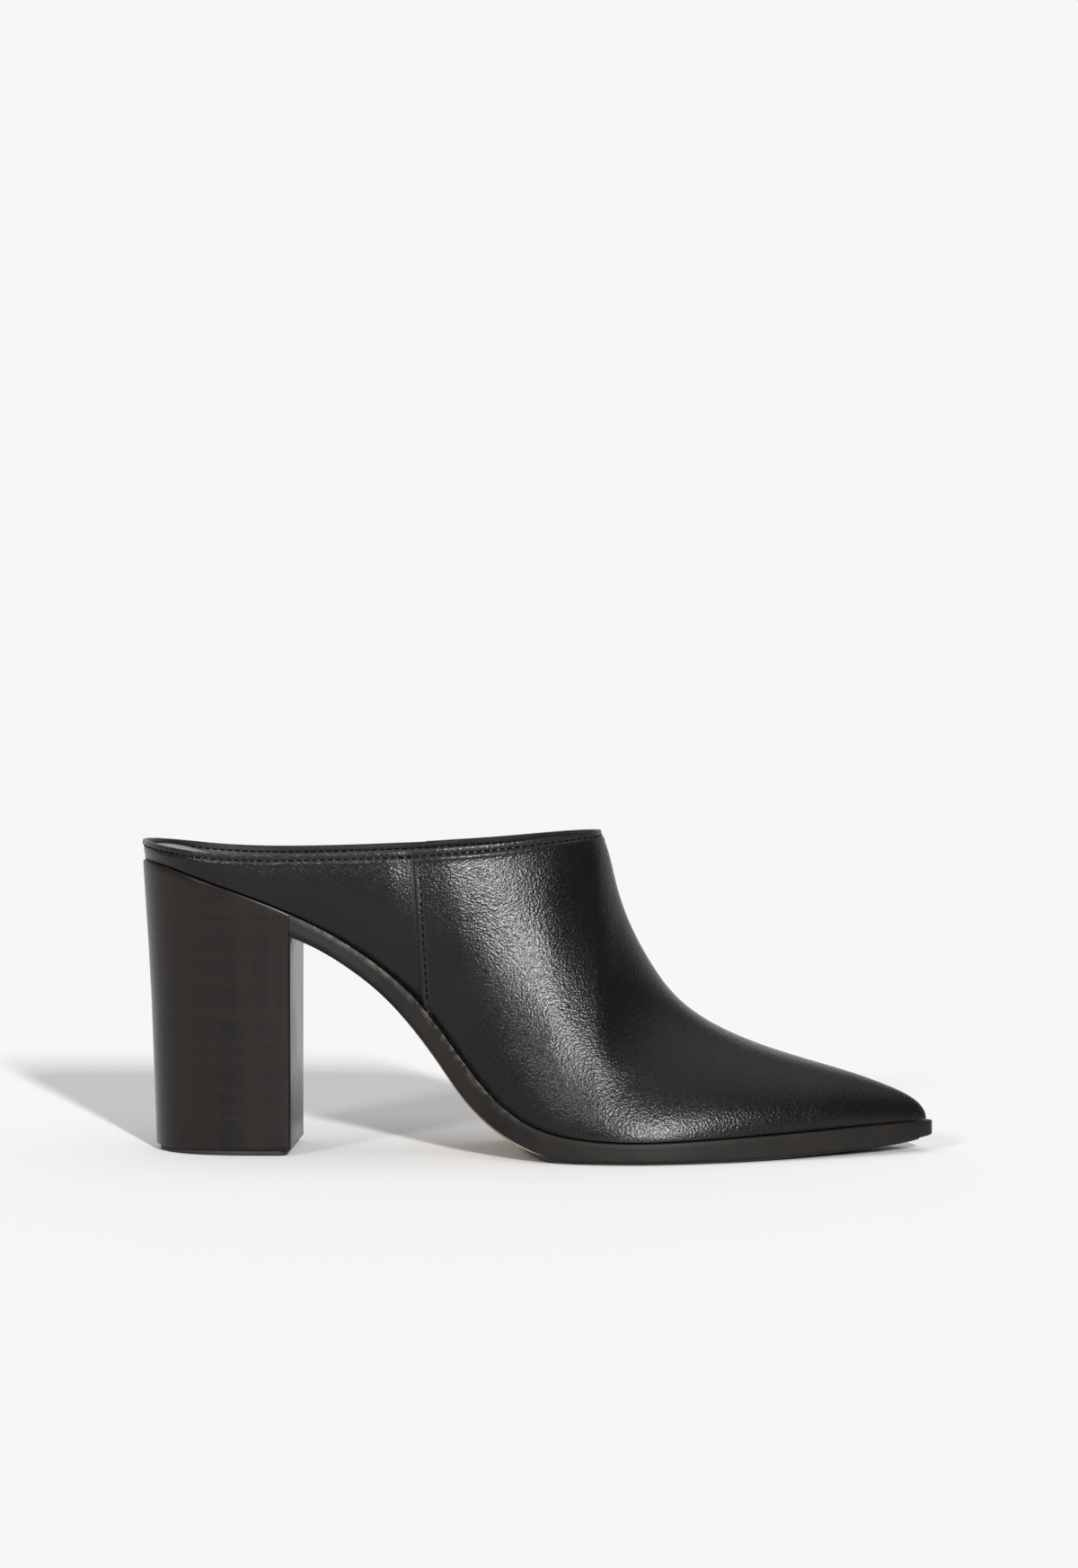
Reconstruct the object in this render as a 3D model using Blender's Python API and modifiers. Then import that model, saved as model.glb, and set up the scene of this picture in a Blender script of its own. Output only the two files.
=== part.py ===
"""Mule pump, right shoe: one low-backed slip-on pump on a block heel.

The shoe stands on its sole. +X points to the toe, +Y to the medial (inner)
side, +Z up. Tables are in millimetres, measured from the heel's vertical
middle line, and the finished parts are moved so that the origin lies under
the middle of the shoe's box.
"""
import math

import bmesh
import bpy
import numpy as np

MM = 0.001

# ---------------------------------------------------------------- sizes (mm)
WALL = 1.8               # upper: outer leather, counter and lining together
SEAT_GAP = 0.3           # air between the insole or upper and what is below
UPPER_GAP = 0.45
TIP_LIFT = 0.4           # the tip's inner corner stays clear of the sole
PATCH = 0.8              # rubber half sole
PATCH_GAP = 0.2
LIFT = 1.5               # heel top piece
LIFT_GAP = 0.2
LIFT_INSET = 1.3
PATCH_INSET = 1.7
PATCH_REAR = -4.5        # where the half sole starts, behind the tread
PATCH_FRONT_INSET = 4.0
BREAST_X = -74.0         # front face of the heel block
BUTT_GAP = 0.3           # outsole's end to the block
INSOLE_CLEAR = 0.7       # insole's edge to the upper's inner face
THROAT_X = 18.7          # front end of the opening, on the crest
RIB_FOOT_X = -5.0        # where the throat's rib meets the feather line
INSTEP_RADIUS = 50.0     # roundness of the instep ridge
INSTEP_POWER = 1.8       # 2 is a circle, less is a firmer ridge
TUCK = 1.0               # the vamp turns in this much where it meets the sole
TUCK_HEIGHT = 4.5
TOE_SHIFT = 2.2          # the toe's tip leans to the medial side

# Plan outline of the outsole: half widths on each side of the middle line.
OUTLINE_COLUMNS = ("x", "lateral", "medial")
OUTLINE = [
    (-119.5, 8.3, 8.3),
    (-114.0, 16.9, 16.9),
    (-106.0, 22.3, 22.2),
    (-96.0, 25.0, 24.8),
    (-84.0, 25.6, 25.2),
    (-72.0, 25.0, 23.8),
    (-57.0, 23.6, 20.6),
    (-42.0, 23.8, 19.3),
    (-26.0, 27.2, 22.0),
    (-10.0, 33.6, 28.2),
    (6.0, 38.8, 34.4),
    (20.0, 41.6, 37.8),
    (33.0, 41.7, 39.0),
    (46.0, 39.0, 38.0),
    (60.0, 34.0, 34.6),
    (74.0, 27.7, 29.9),
    (87.0, 20.9, 24.5),
    (98.0, 14.6, 19.0),
    (107.0, 9.1, 13.8),
    (114.0, 4.4, 9.3),
    (118.3, 0.6, 5.4),
]
HEEL_BACK_X = -121.0
TOE_TIP_X = 120.0

# How far the upper's lower edge stands inside the outsole's outline.
WELT_COLUMNS = ("x", "inset")
WELT = [(-121.0, 0.7), (-95.0, 0.8), (-72.0, 1.1), (-45.0, 1.6), (-20.0, 1.8), (120.0, 1.8)]

# Feather line: the height at which upper and sole meet.
FEATHER_COLUMNS = ("x", "z")
FEATHER = [
    (-121.0, 88.5), (-114.0, 87.5), (-106.0, 85.2), (-95.0, 81.4),
    (-82.0, 76.8), (-69.0, 71.0), (-56.4, 64.0), (-45.0, 55.8),
    (-36.0, 47.7), (-28.0, 37.9), (-20.5, 28.1), (-14.0, 20.3),
    (-7.5, 14.8), (0.0, 10.5), (8.0, 8.1), (17.0, 6.9), (28.5, 6.4),
    (45.0, 6.7), (65.0, 7.5), (85.0, 8.3), (104.0, 9.1), (120.0, 9.4),
]

# Underside of the outsole, without the half sole.
UNDERSIDE_COLUMNS = ("x", "z")
UNDERSIDE = [
    (-74.0, 66.4), (-66.0, 62.8), (-56.5, 56.9), (-46.5, 49.0),
    (-40.0, 42.3), (-33.4, 34.2), (-28.0, 26.8), (-22.0, 18.4),
    (-16.0, 12.2), (-10.0, 7.7), (-4.0, 4.6), (2.0, 2.4), (8.0, 1.25),
    (14.0, 0.95), (36.0, 0.9), (57.0, 0.95), (71.0, 1.4), (82.0, 1.9), (93.0, 2.4),
    (104.0, 3.0), (112.0, 3.8), (120.0, 5.0),
]

# Topline: the edge of the opening, from the heel's back to the throat.
TOPLINE_COLUMNS = ("x", "z")
TOPLINE = [
    (-121.5, 94.3), (-116.0, 93.5), (-110.0, 92.7), (-104.0, 91.9),
    (-96.0, 91.2), (-84.0, 90.8), (-70.0, 90.9), (-56.0, 91.3),
    (-42.0, 91.9), (-28.0, 92.8), (-14.0, 93.9), (0.0, 95.4),
    (10.0, 96.5), (18.7, 97.3),
]

# Crest of the vamp: the ridge from the throat down to the toe's tip.
CREST_COLUMNS = ("x", "z")
CREST = [
    (18.7, 97.3), (21.0, 91.2), (23.3, 82.0), (27.2, 70.0), (33.5, 57.8),
    (40.5, 48.0), (47.1, 42.1), (57.0, 36.3), (70.1, 31.0), (83.2, 26.9),
    (96.3, 23.0), (106.0, 19.5), (112.5, 16.5), (116.0, 13.9),
    (117.7, 11.4), (118.2, 9.4),
]

# Half widths at the height of the opening, and how the wall gets there:
# bow is its outward bulge, ease is above 0 where it flares low down.
TOP_COLUMNS = ("x", "lateral", "medial", "bow", "ease")
TOP = [
    (-121.0, 24.8, 24.6, 0.5, 0.6),
    (-96.0, 24.9, 24.7, 0.6, 0.6),
    (-80.0, 25.4, 25.2, 0.8, 0.8),
    (-60.0, 25.8, 25.6, 1.0, 0.9),
    (-40.0, 26.6, 26.2, 2.6, 1.0),
    (-20.0, 27.0, 26.4, 1.8, 0.55),
    (0.0, 24.9, 24.6, 1.6, 0.15),
    (19.0, 23.6, 23.4, 0.8, -0.2),
    (40.0, 29.4, 28.8, 0.9, -0.35),
    (60.0, 30.8, 31.4, 0.4, 0.0),
    (120.0, 0.0, 0.0, 0.0, 0.0),
]

# Insole with its heel pad and sock: thickness above the feather line.
INSOLE_COLUMNS = ("x", "thick")
INSOLE = [(-121.0, 4.6), (-100.0, 4.9), (-80.0, 4.9), (-55.0, 4.0),
          (-25.0, 3.0), (20.0, 2.6), (120.0, 2.2)]

# Heel block: place of its back and width against the top, by height.
BLOCK_COLUMNS = ("z", "back", "width")
BLOCK = [
    (0.0, -117.1, 0.862), (8.0, -117.3, 0.864), (26.0, -117.9, 0.874),
    (46.0, -118.6, 0.897), (62.0, -119.4, 0.930), (75.0, -120.2, 0.967),
    (88.5, -121.0, 1.0),
]

# Ways to space stations: rear and front ends are sampled more closely.
N_REAR = 24              # ribs of the upper behind the throat
N_VAMP = 20              # ribs from the throat to the toe
N_UP = 9                 # faces up each rib


# ------------------------------------------------------------ curve helpers
def column(table, columns, name):
    """One named column of a table."""
    return np.array([row[columns.index(name)] for row in table], float)


def cubic(t, p, at, closed=False):
    """Smooth cubic spline through points p at t, read at the values at."""
    t = np.asarray(t, float)
    p = np.asarray(p, float)
    n = len(t)
    h = np.diff(t)
    a = np.zeros((n, n))
    b = np.zeros((n,) + p.shape[1:])
    for i in range(1, n - 1):
        a[i, i - 1], a[i, i], a[i, i + 1] = h[i - 1], 2 * (h[i - 1] + h[i]), h[i]
        b[i] = 6 * ((p[i + 1] - p[i]) / h[i] - (p[i] - p[i - 1]) / h[i - 1])
    if closed:
        a[0, 0], a[0, 1], a[0, n - 2] = 2 * (h[0] + h[-1]), h[0], h[-1]
        b[0] = 6 * ((p[1] - p[0]) / h[0] - (p[-1] - p[-2]) / h[-1])
        a[-1, 0], a[-1, -1] = 1, -1
    else:
        a[0, 0] = a[-1, -1] = 1
    m = np.linalg.solve(a, b)
    at = np.asarray(at, float)
    k = np.clip(np.searchsorted(t, at) - 1, 0, n - 2)
    u = (at - t[k]) / h[k]
    hk = h[k]
    if p.ndim > 1:
        u, hk = u[:, None], hk[:, None]
    return ((1 - u) * p[k] + u * p[k + 1]
            + hk ** 2 / 6 * (((1 - u) ** 3 - (1 - u)) * m[k] + (u ** 3 - u) * m[k + 1]))


def chords(points):
    """Running length along a line of points."""
    steps = np.hypot(*np.diff(points, axis=0).T)
    return np.concatenate([[0.0], np.cumsum(steps)])


def soften(values, step, width):
    """Gaussian smoothing of evenly spaced values, ends held."""
    reach = max(1, int(3 * width / step))
    kernel = np.exp(-0.5 * (np.arange(-reach, reach + 1) * step / width) ** 2)
    kernel /= kernel.sum()
    first = 2 * values[0] - values[1:reach + 1][::-1]
    last = 2 * values[-1] - values[-reach - 1:-1][::-1]
    return np.convolve(np.concatenate([first, values, last]), kernel, "valid")


class Height:
    """A height that depends on x alone, smooth through a table's rows."""

    def __init__(self, table, columns, name="z", width=2.0, step=0.25):
        x = column(table, columns, "x")
        self.x = np.arange(x[0], x[-1] + step / 2, step)
        self.v = soften(np.interp(self.x, x, column(table, columns, name)), step, width * 1.4)
        fine = cubic(x, column(table, columns, name), np.clip(self.x, x[0], x[-1]))
        self.v = soften(fine, step, width)

    def __call__(self, x):
        return np.interp(x, self.x, self.v)


class Blend:
    """A column read with straight lines between rows, then softened."""

    def __init__(self, table, columns, name, width=6.0, step=0.5):
        x = column(table, columns, "x")
        self.x = np.arange(x[0], x[-1] + step / 2, step)
        self.v = soften(np.interp(self.x, x, column(table, columns, name)), step, width)

    def __call__(self, x):
        return np.interp(x, self.x, self.v)


class Outline:
    """Closed plan outline of the sole, and its inner parallels."""

    def __init__(self):
        x = column(OUTLINE, OUTLINE_COLUMNS, "x")
        lateral = np.stack([x, -column(OUTLINE, OUTLINE_COLUMNS, "lateral")], 1)
        medial = np.stack([x, column(OUTLINE, OUTLINE_COLUMNS, "medial")], 1)
        loop = np.concatenate([[[HEEL_BACK_X, 0.0]], lateral, [[TOE_TIP_X, TOE_SHIFT]],
                               medial[::-1], [[HEEL_BACK_X, 0.0]]])
        t = chords(loop)
        self.step = t[-1] / 2400
        at = np.arange(2400) * self.step
        line = cubic(t, loop, at, closed=True)
        for axis in (0, 1):
            wide = np.concatenate([line[-60:, axis], line[:, axis], line[:60, axis]])
            line[:, axis] = soften(wide, self.step, 1.0)[60:-60]
        self.line = line
        ahead = np.roll(line, -1, 0) - np.roll(line, 1, 0)
        ahead /= np.hypot(*ahead.T)[:, None]
        self.inward = np.stack([-ahead[:, 1], ahead[:, 0]], 1)

    def parallel(self, inset):
        """Lateral and medial half widths as functions of x, at an inset."""
        d = inset(self.line[:, 0]) if callable(inset) else inset
        line = self.line + self.inward * np.reshape(d, (-1, 1) if np.ndim(d) else ())
        tip = int(np.argmax(line[:, 0]))
        back = int(np.argmin(line[:, 0]))
        lateral = np.roll(line, -back, 0)[:(tip - back) % len(line) + 1]
        medial = np.roll(line, -tip, 0)[:(back - tip) % len(line) + 1][::-1]
        return Side(lateral), Side(medial)


class Side:
    """One side of an outline: y as a function of x, and its two ends."""

    def __init__(self, line):
        keep = np.concatenate([[True], np.diff(np.maximum.accumulate(line[:, 0])) > 0])
        self.x, self.y = line[keep, 0], line[keep, 1]

    def __call__(self, x):
        return np.interp(x, self.x, self.y)


feather_z = Height(FEATHER, FEATHER_COLUMNS)
under_z = Height(UNDERSIDE, UNDERSIDE_COLUMNS)
under_z.v = np.maximum(under_z.v, PATCH + PATCH_GAP)      # the tread's flat spot
topline_z = Height(TOPLINE, TOPLINE_COLUMNS)
insole_thick = Blend(INSOLE, INSOLE_COLUMNS, "thick")
welt_inset = Blend(WELT, WELT_COLUMNS, "inset")
outline = Outline()
feather_side = dict(zip(("lateral", "medial"), outline.parallel(welt_inset)))
top_width = {side: Blend(TOP, TOP_COLUMNS, side) for side in ("lateral", "medial")}
wall_bow = Blend(TOP, TOP_COLUMNS, "bow")
wall_ease = Blend(TOP, TOP_COLUMNS, "ease")


# ------------------------------------------------------------- the last form
def crest_line():
    """Dense crest from the throat to the tip, and the same run on past both."""
    p = np.stack([column(CREST, CREST_COLUMNS, c) for c in ("x", "z")], 1)
    t = chords(p)
    at = np.linspace(0, t[-1], 700)
    line = cubic(t, p, at)
    step = at[1]
    line = np.stack([soften(line[:, 0], step, 1.2), soften(line[:, 1], step, 1.2)], 1)
    rise = line[0] - line[25]
    rise /= np.hypot(*rise)
    above = line[0] + rise * np.linspace(60, 0.3, 120)[:, None]
    below = line[-1] + np.stack([np.zeros(30), -np.linspace(0.3, 9, 30)], 1)
    return line, np.concatenate([above, line, below])


CREST_LINE, CREST_FULL = crest_line()
CREST_BY_X = np.maximum.accumulate(CREST_LINE[:, 0])


def crest_z(x):
    return np.interp(x, CREST_BY_X, CREST_LINE[:, 1])


def crest_y(x):
    """The ridge leans to the medial side as the toe does."""
    u = np.clip((np.asarray(x, float) - 35.0) / (TOE_TIP_X - 35.0), 0, 1)
    return TOE_SHIFT * u * u * (3 - 2 * u)


def crest_distance(x, z):
    """Distance in side view from each point to the crest."""
    x, z = np.broadcast_arrays(np.asarray(x, float), np.asarray(z, float))
    flat = np.stack([x.ravel(), z.ravel()], 1)
    a, b = CREST_FULL[:-1], CREST_FULL[1:]
    ab = b - a
    best = np.full(len(flat), np.inf)
    for first in range(0, len(flat), 2000):
        q = flat[first:first + 2000, None, :]
        u = np.clip(((q - a) * ab).sum(2) / (ab ** 2).sum(1), 0, 1)
        gap = a + u[..., None] * ab - q
        best[first:first + 2000] = np.sqrt((gap ** 2).sum(2).min(1))
    return best.reshape(x.shape)


def roundover(t):
    """0 on the ridge, 1 once a full radius away from it."""
    t = np.clip(t, 0, 1)
    return np.sqrt(np.maximum(0.0, 1 - (1 - t) ** 2))


def instep(t, x):
    """As roundover, with the instep's own firmer shape behind the toe."""
    t = np.clip(t, 0, 1)
    power = 2 + (INSTEP_POWER - 2) * np.clip((75.0 - x) / 40.0, 0, 1)
    return np.maximum(0.0, 1 - (1 - t) ** power) ** (1 / power)


def roof_z(x):
    return np.where(np.asarray(x) < THROAT_X, topline_z(x), crest_z(x))


def ridge_radius(x):
    """Radius of the roundover: the instep's, or less where the toe is low."""
    high = np.maximum(crest_z(np.maximum(x, THROAT_X)) - feather_z(x), 2.0)
    k = 6.0
    return (INSTEP_RADIUS ** -k + high ** -k) ** (-1 / k)


def wall_y(side, x, z):
    """Outer face of the upper: y at a point of the side view."""
    x = np.asarray(x, float)
    sign = -1.0 if side == "lateral" else 1.0
    low, roof = feather_z(x), np.maximum(roof_z(x), feather_z(x) + 0.5)
    s = np.clip((z - low) / (roof - low), 0, 1.1)
    lean = -0.7 * np.clip((z - low) / 6.0, 0, 1) * np.clip((-90.0 - x) / 20.0, 0, 1)
    middle = crest_y(x)
    foot = np.abs(feather_side[side](x - lean) - middle)
    full = np.maximum(np.abs(feather_side[side](np.clip(x, -95.0, 120.0)) - middle), 1.0)
    ratio = np.clip(top_width[side](x) / full, 0.3, 1.6)
    ratio = np.where(x > 60.0, 1.0 + (ratio - 1.0) * np.clip(1 - (x - 60.0) / 25.0, 0, 1), ratio)
    ease = wall_ease(x)
    rise = s + ease * s * (1 - s)
    grow = 1 + (ratio - 1) * rise
    near = instep(crest_distance(x, z) / ridge_radius(x), x)
    base = instep(crest_distance(x, low) / ridge_radius(x), x)
    bow = wall_bow(x) * np.sin(math.pi * np.clip(s, 0, 1)) * np.minimum(foot / 20.0, 1.0)
    ball = np.clip((x + 20.0) / 25.0, 0, 1) * np.clip((117.0 - x) / 25.0, 0, 1)
    bow = bow + TUCK * ball * (1 - np.exp(-np.maximum(z - low, 0.0) / TUCK_HEIGHT))
    return middle + sign * (foot * grow + bow) * near / np.maximum(base, 0.2)


def even(points, n):
    """n + 1 points spread evenly along a 3D line of points."""
    run = np.concatenate([[0.0], np.cumsum(np.sqrt((np.diff(points, axis=0) ** 2).sum(1)))])
    at = np.linspace(0, run[-1], n + 1)
    return np.stack([np.interp(at, run, points[:, k]) for k in range(3)], 1)


def rib_ends(n_rear, n_vamp):
    """Side view points where each rib starts on the sole and ends on top.

    The rear ribs share out the opening's edge by length, and the vamp ribs
    the crest, so that they crowd together round the throat's bend.
    """
    x = np.concatenate([HEEL_TOP_X + (np.linspace(0, 1, 300) ** 2) * 10.0,
                        np.linspace(HEEL_TOP_X + 10.05, THROAT_X - 8.05, 900),
                        THROAT_X - 8.0 * (np.linspace(1, 0, 300) ** 2)])
    z = topline_z(x)
    y = wall_y("lateral", x, z)
    y[0], y[-1] = 0.0, 0.0
    top = even(np.stack([x, y, z], 1), n_rear)[:, [0, 2]]
    top[:, 1] = topline_z(top[:, 0])
    xf = np.concatenate([HEEL_FOOT_X + (np.linspace(0, 1, 300) ** 2) * 10.0,
                         np.linspace(HEEL_FOOT_X + 10.05, RIB_FOOT_X, 900)])
    zf = feather_z(xf)
    foot = even(np.stack([xf, feather_side["lateral"](xf), zf], 1), n_rear)[:, [0, 2]]
    run = chords(CREST_LINE)
    share = np.linspace(0, 1, n_vamp + 1)[1:]
    share = share + 0.35 * share * (1 - share) * (share - 0.2)
    crest = np.stack([np.interp(share * run[-1], run, CREST_LINE[:, k]) for k in (0, 1)], 1)
    reach = RIB_FOOT_X + (FOOT_TIP_X - RIB_FOOT_X) * share
    crowd = np.clip((share - 0.62) / 0.38, 0, 1)
    fx = reach * (1 - crowd) + np.minimum(crest[:, 0], FOOT_TIP_X) * crowd
    fx[-1] = FOOT_TIP_X
    vamp_foot = np.stack([fx, feather_z(fx)], 1)
    return np.concatenate([foot, vamp_foot]), np.concatenate([top, crest])


HEEL_FOOT_X = float(feather_side["lateral"].x[0])
HEEL_TOP_X = HEEL_FOOT_X - 0.7
FOOT_TIP_X = float(feather_side["lateral"].x[-1])


def upper_grid(side, n_rear, n_vamp, n_up):
    """Points of one side of the upper, a row for each rib, from the sole up."""
    foot, top = rib_ends(n_rear, n_vamp)
    rows = []
    for i, (b, t) in enumerate(zip(foot, top)):
        u = 1 - (1 - np.linspace(0, 1, 90)) ** 2
        x = b[0] + (t[0] - b[0]) * u
        z = b[1] + (t[1] - b[1]) * u
        y = wall_y(side, x, z)
        if i >= n_rear:
            y[-1] = float(crest_y(x[-1]))
        if i == 0:
            y[:] = 0.0
        rows.append(even(np.stack([x, y, z + UPPER_GAP], 1), n_up))
    tip_z = float(feather_z(FOOT_TIP_X)) + UPPER_GAP + TIP_LIFT
    rows[-1][:] = (FOOT_TIP_X, float(crest_y(FOOT_TIP_X)), tip_z)
    return np.array(rows)


# ------------------------------------------------------------ mesh building
collection = None
ORIGIN = ((HEEL_BACK_X + TOE_TIP_X) / 2,
          (outline.line[:, 1].min() + outline.line[:, 1].max()) / 2)


def new_object(name, mesh, material):
    obj = bpy.data.objects.new(name, mesh)
    collection.objects.link(obj)
    mesh.materials.append(material)
    return obj


def mesh_from(name, points, faces):
    """A welded mesh from points in mm and faces, moved to the origin."""
    bm = bmesh.new()
    verts = [bm.verts.new(((x - ORIGIN[0]) * MM, (y - ORIGIN[1]) * MM, z * MM))
             for x, y, z in points]
    for face in faces:
        bm.faces.new([verts[k] for k in face])
    bmesh.ops.remove_doubles(bm, verts=bm.verts, dist=0.000002)
    bmesh.ops.dissolve_degenerate(bm, edges=bm.edges, dist=0.0000005)
    mesh = bpy.data.meshes.new(name)
    bm.to_mesh(mesh)
    bm.free()
    return mesh


def make_material(name, colour, roughness, metallic=0.0):
    material = bpy.data.materials.new(name)
    material.use_nodes = True
    shader = material.node_tree.nodes["Principled BSDF"]
    shader.inputs["Base Color"].default_value = (*colour, 1.0)
    shader.inputs["Roughness"].default_value = roughness
    shader.inputs["Metallic"].default_value = metallic
    material.diffuse_color = (*colour, 1.0)
    return material


def smooth(mesh, degrees=40.0):
    mesh.shade_smooth()
    mesh.set_sharp_from_angle(angle=math.radians(degrees))


def make_upper(material):
    """Both sides of the upper in one sheet, given its wall by Solidify."""
    lateral = upper_grid("lateral", N_REAR, N_VAMP, N_UP)
    medial = upper_grid("medial", N_REAR, N_VAMP, N_UP)
    ribs = len(lateral)
    points = np.concatenate([lateral.reshape(-1, 3), medial.reshape(-1, 3)])
    shift = ribs * (N_UP + 1)
    faces = []
    for i in range(ribs - 1):
        for j in range(N_UP):
            a = i * (N_UP + 1) + j
            b = a + N_UP + 1
            if i == ribs - 2:
                faces.append((a, b, a + 1))
                faces.append((a + 1 + shift, b + shift, a + shift))
            else:
                faces.append((a, b, b + 1, a + 1))
                faces.append((a + 1 + shift, b + 1 + shift, b + shift, a + shift))
    mesh = mesh_from("upper", points, faces)
    smooth(mesh, 60.0)
    obj = new_object("upper", mesh, material)
    shell = obj.modifiers.new("wall", "SOLIDIFY")
    shell.thickness = WALL * MM
    shell.offset = -1.0
    shell.use_even_offset = False
    return obj


def stations(n, rear=True, front=True):
    """0 to 1 in n steps, closer together at the round ends."""
    u = np.linspace(0, 1, n + 1)
    if rear and front:
        return 0.5 - 0.5 * np.cos(math.pi * u)
    if front:
        return np.sin(math.pi / 2 * u) * 0.55 + u * 0.45
    if rear:
        return (1 - np.cos(math.pi / 2 * u)) * 0.55 + u * 0.45
    return u


def plate(name, rows, n, material, open_rear=False, open_front=False, u=None):
    """A closed plate between two sides of an outline.

    Each row of the edge's profile is (lateral, medial, first x, last x,
    height as a function of x); the first row is the top's rim and the last
    the bottom's rim.
    """
    u = stations(n, not open_rear, not open_front) if u is None else u
    n = len(u) - 1
    points, faces = [], []
    for lateral, medial, first, last, height in rows:
        x = first + (last - first) * u
        z = height(x)
        yl, ym = lateral(x), medial(x)
        if not open_rear:
            yl[0] = ym[0] = (yl[0] + ym[0]) / 2
        if not open_front:
            yl[-1] = ym[-1] = (yl[-1] + ym[-1]) / 2
        points += [np.stack([x, yl, z], 1), np.stack([x, ym, z], 1)]
    width = n + 1

    def at(row, side, i):
        return (2 * row + side) * width + i

    last_row = len(rows) - 1
    for i in range(n):
        tight_rear = i == 0 and not open_rear
        tight_front = i == n - 1 and not open_front
        for row, up in ((0, True), (last_row, False)):
            quad = [at(row, 0, i), at(row, 0, i + 1), at(row, 1, i + 1), at(row, 1, i)]
            if tight_front:
                quad.pop(2)
            elif tight_rear:
                quad.pop(3)
            faces.append(quad if up else quad[::-1])
        for row in range(last_row):
            faces.append([at(row + 1, 0, i), at(row + 1, 0, i + 1), at(row, 0, i + 1), at(row, 0, i)])
            faces.append([at(row, 1, i), at(row, 1, i + 1), at(row + 1, 1, i + 1), at(row + 1, 1, i)])
    rim = range(len(rows))
    if open_rear:
        faces.append([at(r, 0, 0) for r in rim][::-1][::-1] + [at(r, 1, 0) for r in rim][::-1])
    if open_front:
        faces.append(([at(r, 0, n) for r in rim] + [at(r, 1, n) for r in rim][::-1])[::-1])
    mesh = weld_tips(name, np.concatenate(points), faces)
    smooth(mesh)
    return new_object(name, mesh, material)


def weld_tips(name, points, faces):
    """Weld the ends that both sides share, then point the faces outward."""
    keep, index = [], {}
    remap = np.zeros(len(points), int)
    for k, p in enumerate(points):
        key = tuple(np.round(p, 4))
        if key not in index:
            index[key] = len(keep)
            keep.append(p)
        remap[k] = index[key]
    clean = []
    for face in faces:
        ring = []
        for k in face:
            if not ring or remap[k] != ring[-1]:
                ring.append(int(remap[k]))
        if ring[0] == ring[-1]:
            ring.pop()
        if len(ring) > 2:
            clean.append(ring)
    mesh = mesh_from(name, keep, clean)
    bm = bmesh.new()
    bm.from_mesh(mesh)
    bmesh.ops.recalc_face_normals(bm, faces=bm.faces)
    bm.to_mesh(mesh)
    bm.free()
    return mesh


def make_insole(material):
    """Board, heel pad and sock as one piece inside the upper."""
    def rim(extra):
        return outline.parallel(lambda x: welt_inset(x) + WALL + INSOLE_CLEAR + extra)

    low = rim(0.0)
    high = rim(0.6)

    def ends(pair):
        return float(pair[0].x[0]) + 0.02, float(min(pair[0].x[-1], pair[1].x[-1])) - 2.2

    rows = [
        (*high, ends(high)[0], ends(high)[1], lambda x: feather_z(x) + SEAT_GAP + insole_thick(x)),
        (*low, ends(low)[0], ends(low)[1], lambda x: feather_z(x) + SEAT_GAP + insole_thick(x) - 0.8),
        (*low, ends(low)[0], ends(low)[1], lambda x: feather_z(x) + SEAT_GAP),
    ]
    return plate("insole", rows, 44, material, open_front=True,
                 u=stations(44, True, False))


def make_outsole(material):
    """Leather sole from the toe's tip to the heel's breast."""
    rim = outline.parallel(0.0)
    mid = outline.parallel(0.25)
    low = outline.parallel(1.0)
    first = BREAST_X + BUTT_GAP
    rows = [
        (*rim, first, TOE_TIP_X - 0.02, feather_z),
        (*rim, first, TOE_TIP_X - 0.02, lambda x: under_z(x) + 1.3),
        (*mid, first, float(mid[0].x[-1]), lambda x: under_z(x) + 0.5),
        (*low, first, float(low[0].x[-1]), under_z),
    ]
    return plate("outsole", rows, 52, material, open_rear=True)


def make_half_sole(material):
    """Thin rubber tread under the forepart, rounded at its rear corners."""
    corner = 9.0

    def trimmed(pair):
        def cut(side, sign):
            def y(x):
                t = np.clip((np.asarray(x) - PATCH_REAR) / corner, 0, 1)
                return side(x) - sign * corner * (1 - roundover(t))
            return y
        return cut(pair[0], -1.0), cut(pair[1], 1.0)

    pair = outline.parallel(lambda x: PATCH_INSET + (PATCH_FRONT_INSET - PATCH_INSET)
                            * np.clip((x - 70.0) / 50.0, 0, 1))
    tip = float(min(pair[0].x[-1], pair[1].x[-1]))
    pair = trimmed(pair)
    u = np.concatenate([[0, 0.004, 0.012, 0.025, 0.045], np.linspace(0.075, 0.9, 22),
                        [0.93, 0.955, 0.975, 0.99, 1.0]])
    rows = [
        (*pair, PATCH_REAR, tip, lambda x: under_z(x) - PATCH_GAP),
        (*pair, PATCH_REAR, tip, lambda x: under_z(x) - PATCH_GAP - PATCH),
    ]
    return plate("half_sole", rows, 0, material, open_rear=True, u=u)


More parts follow.
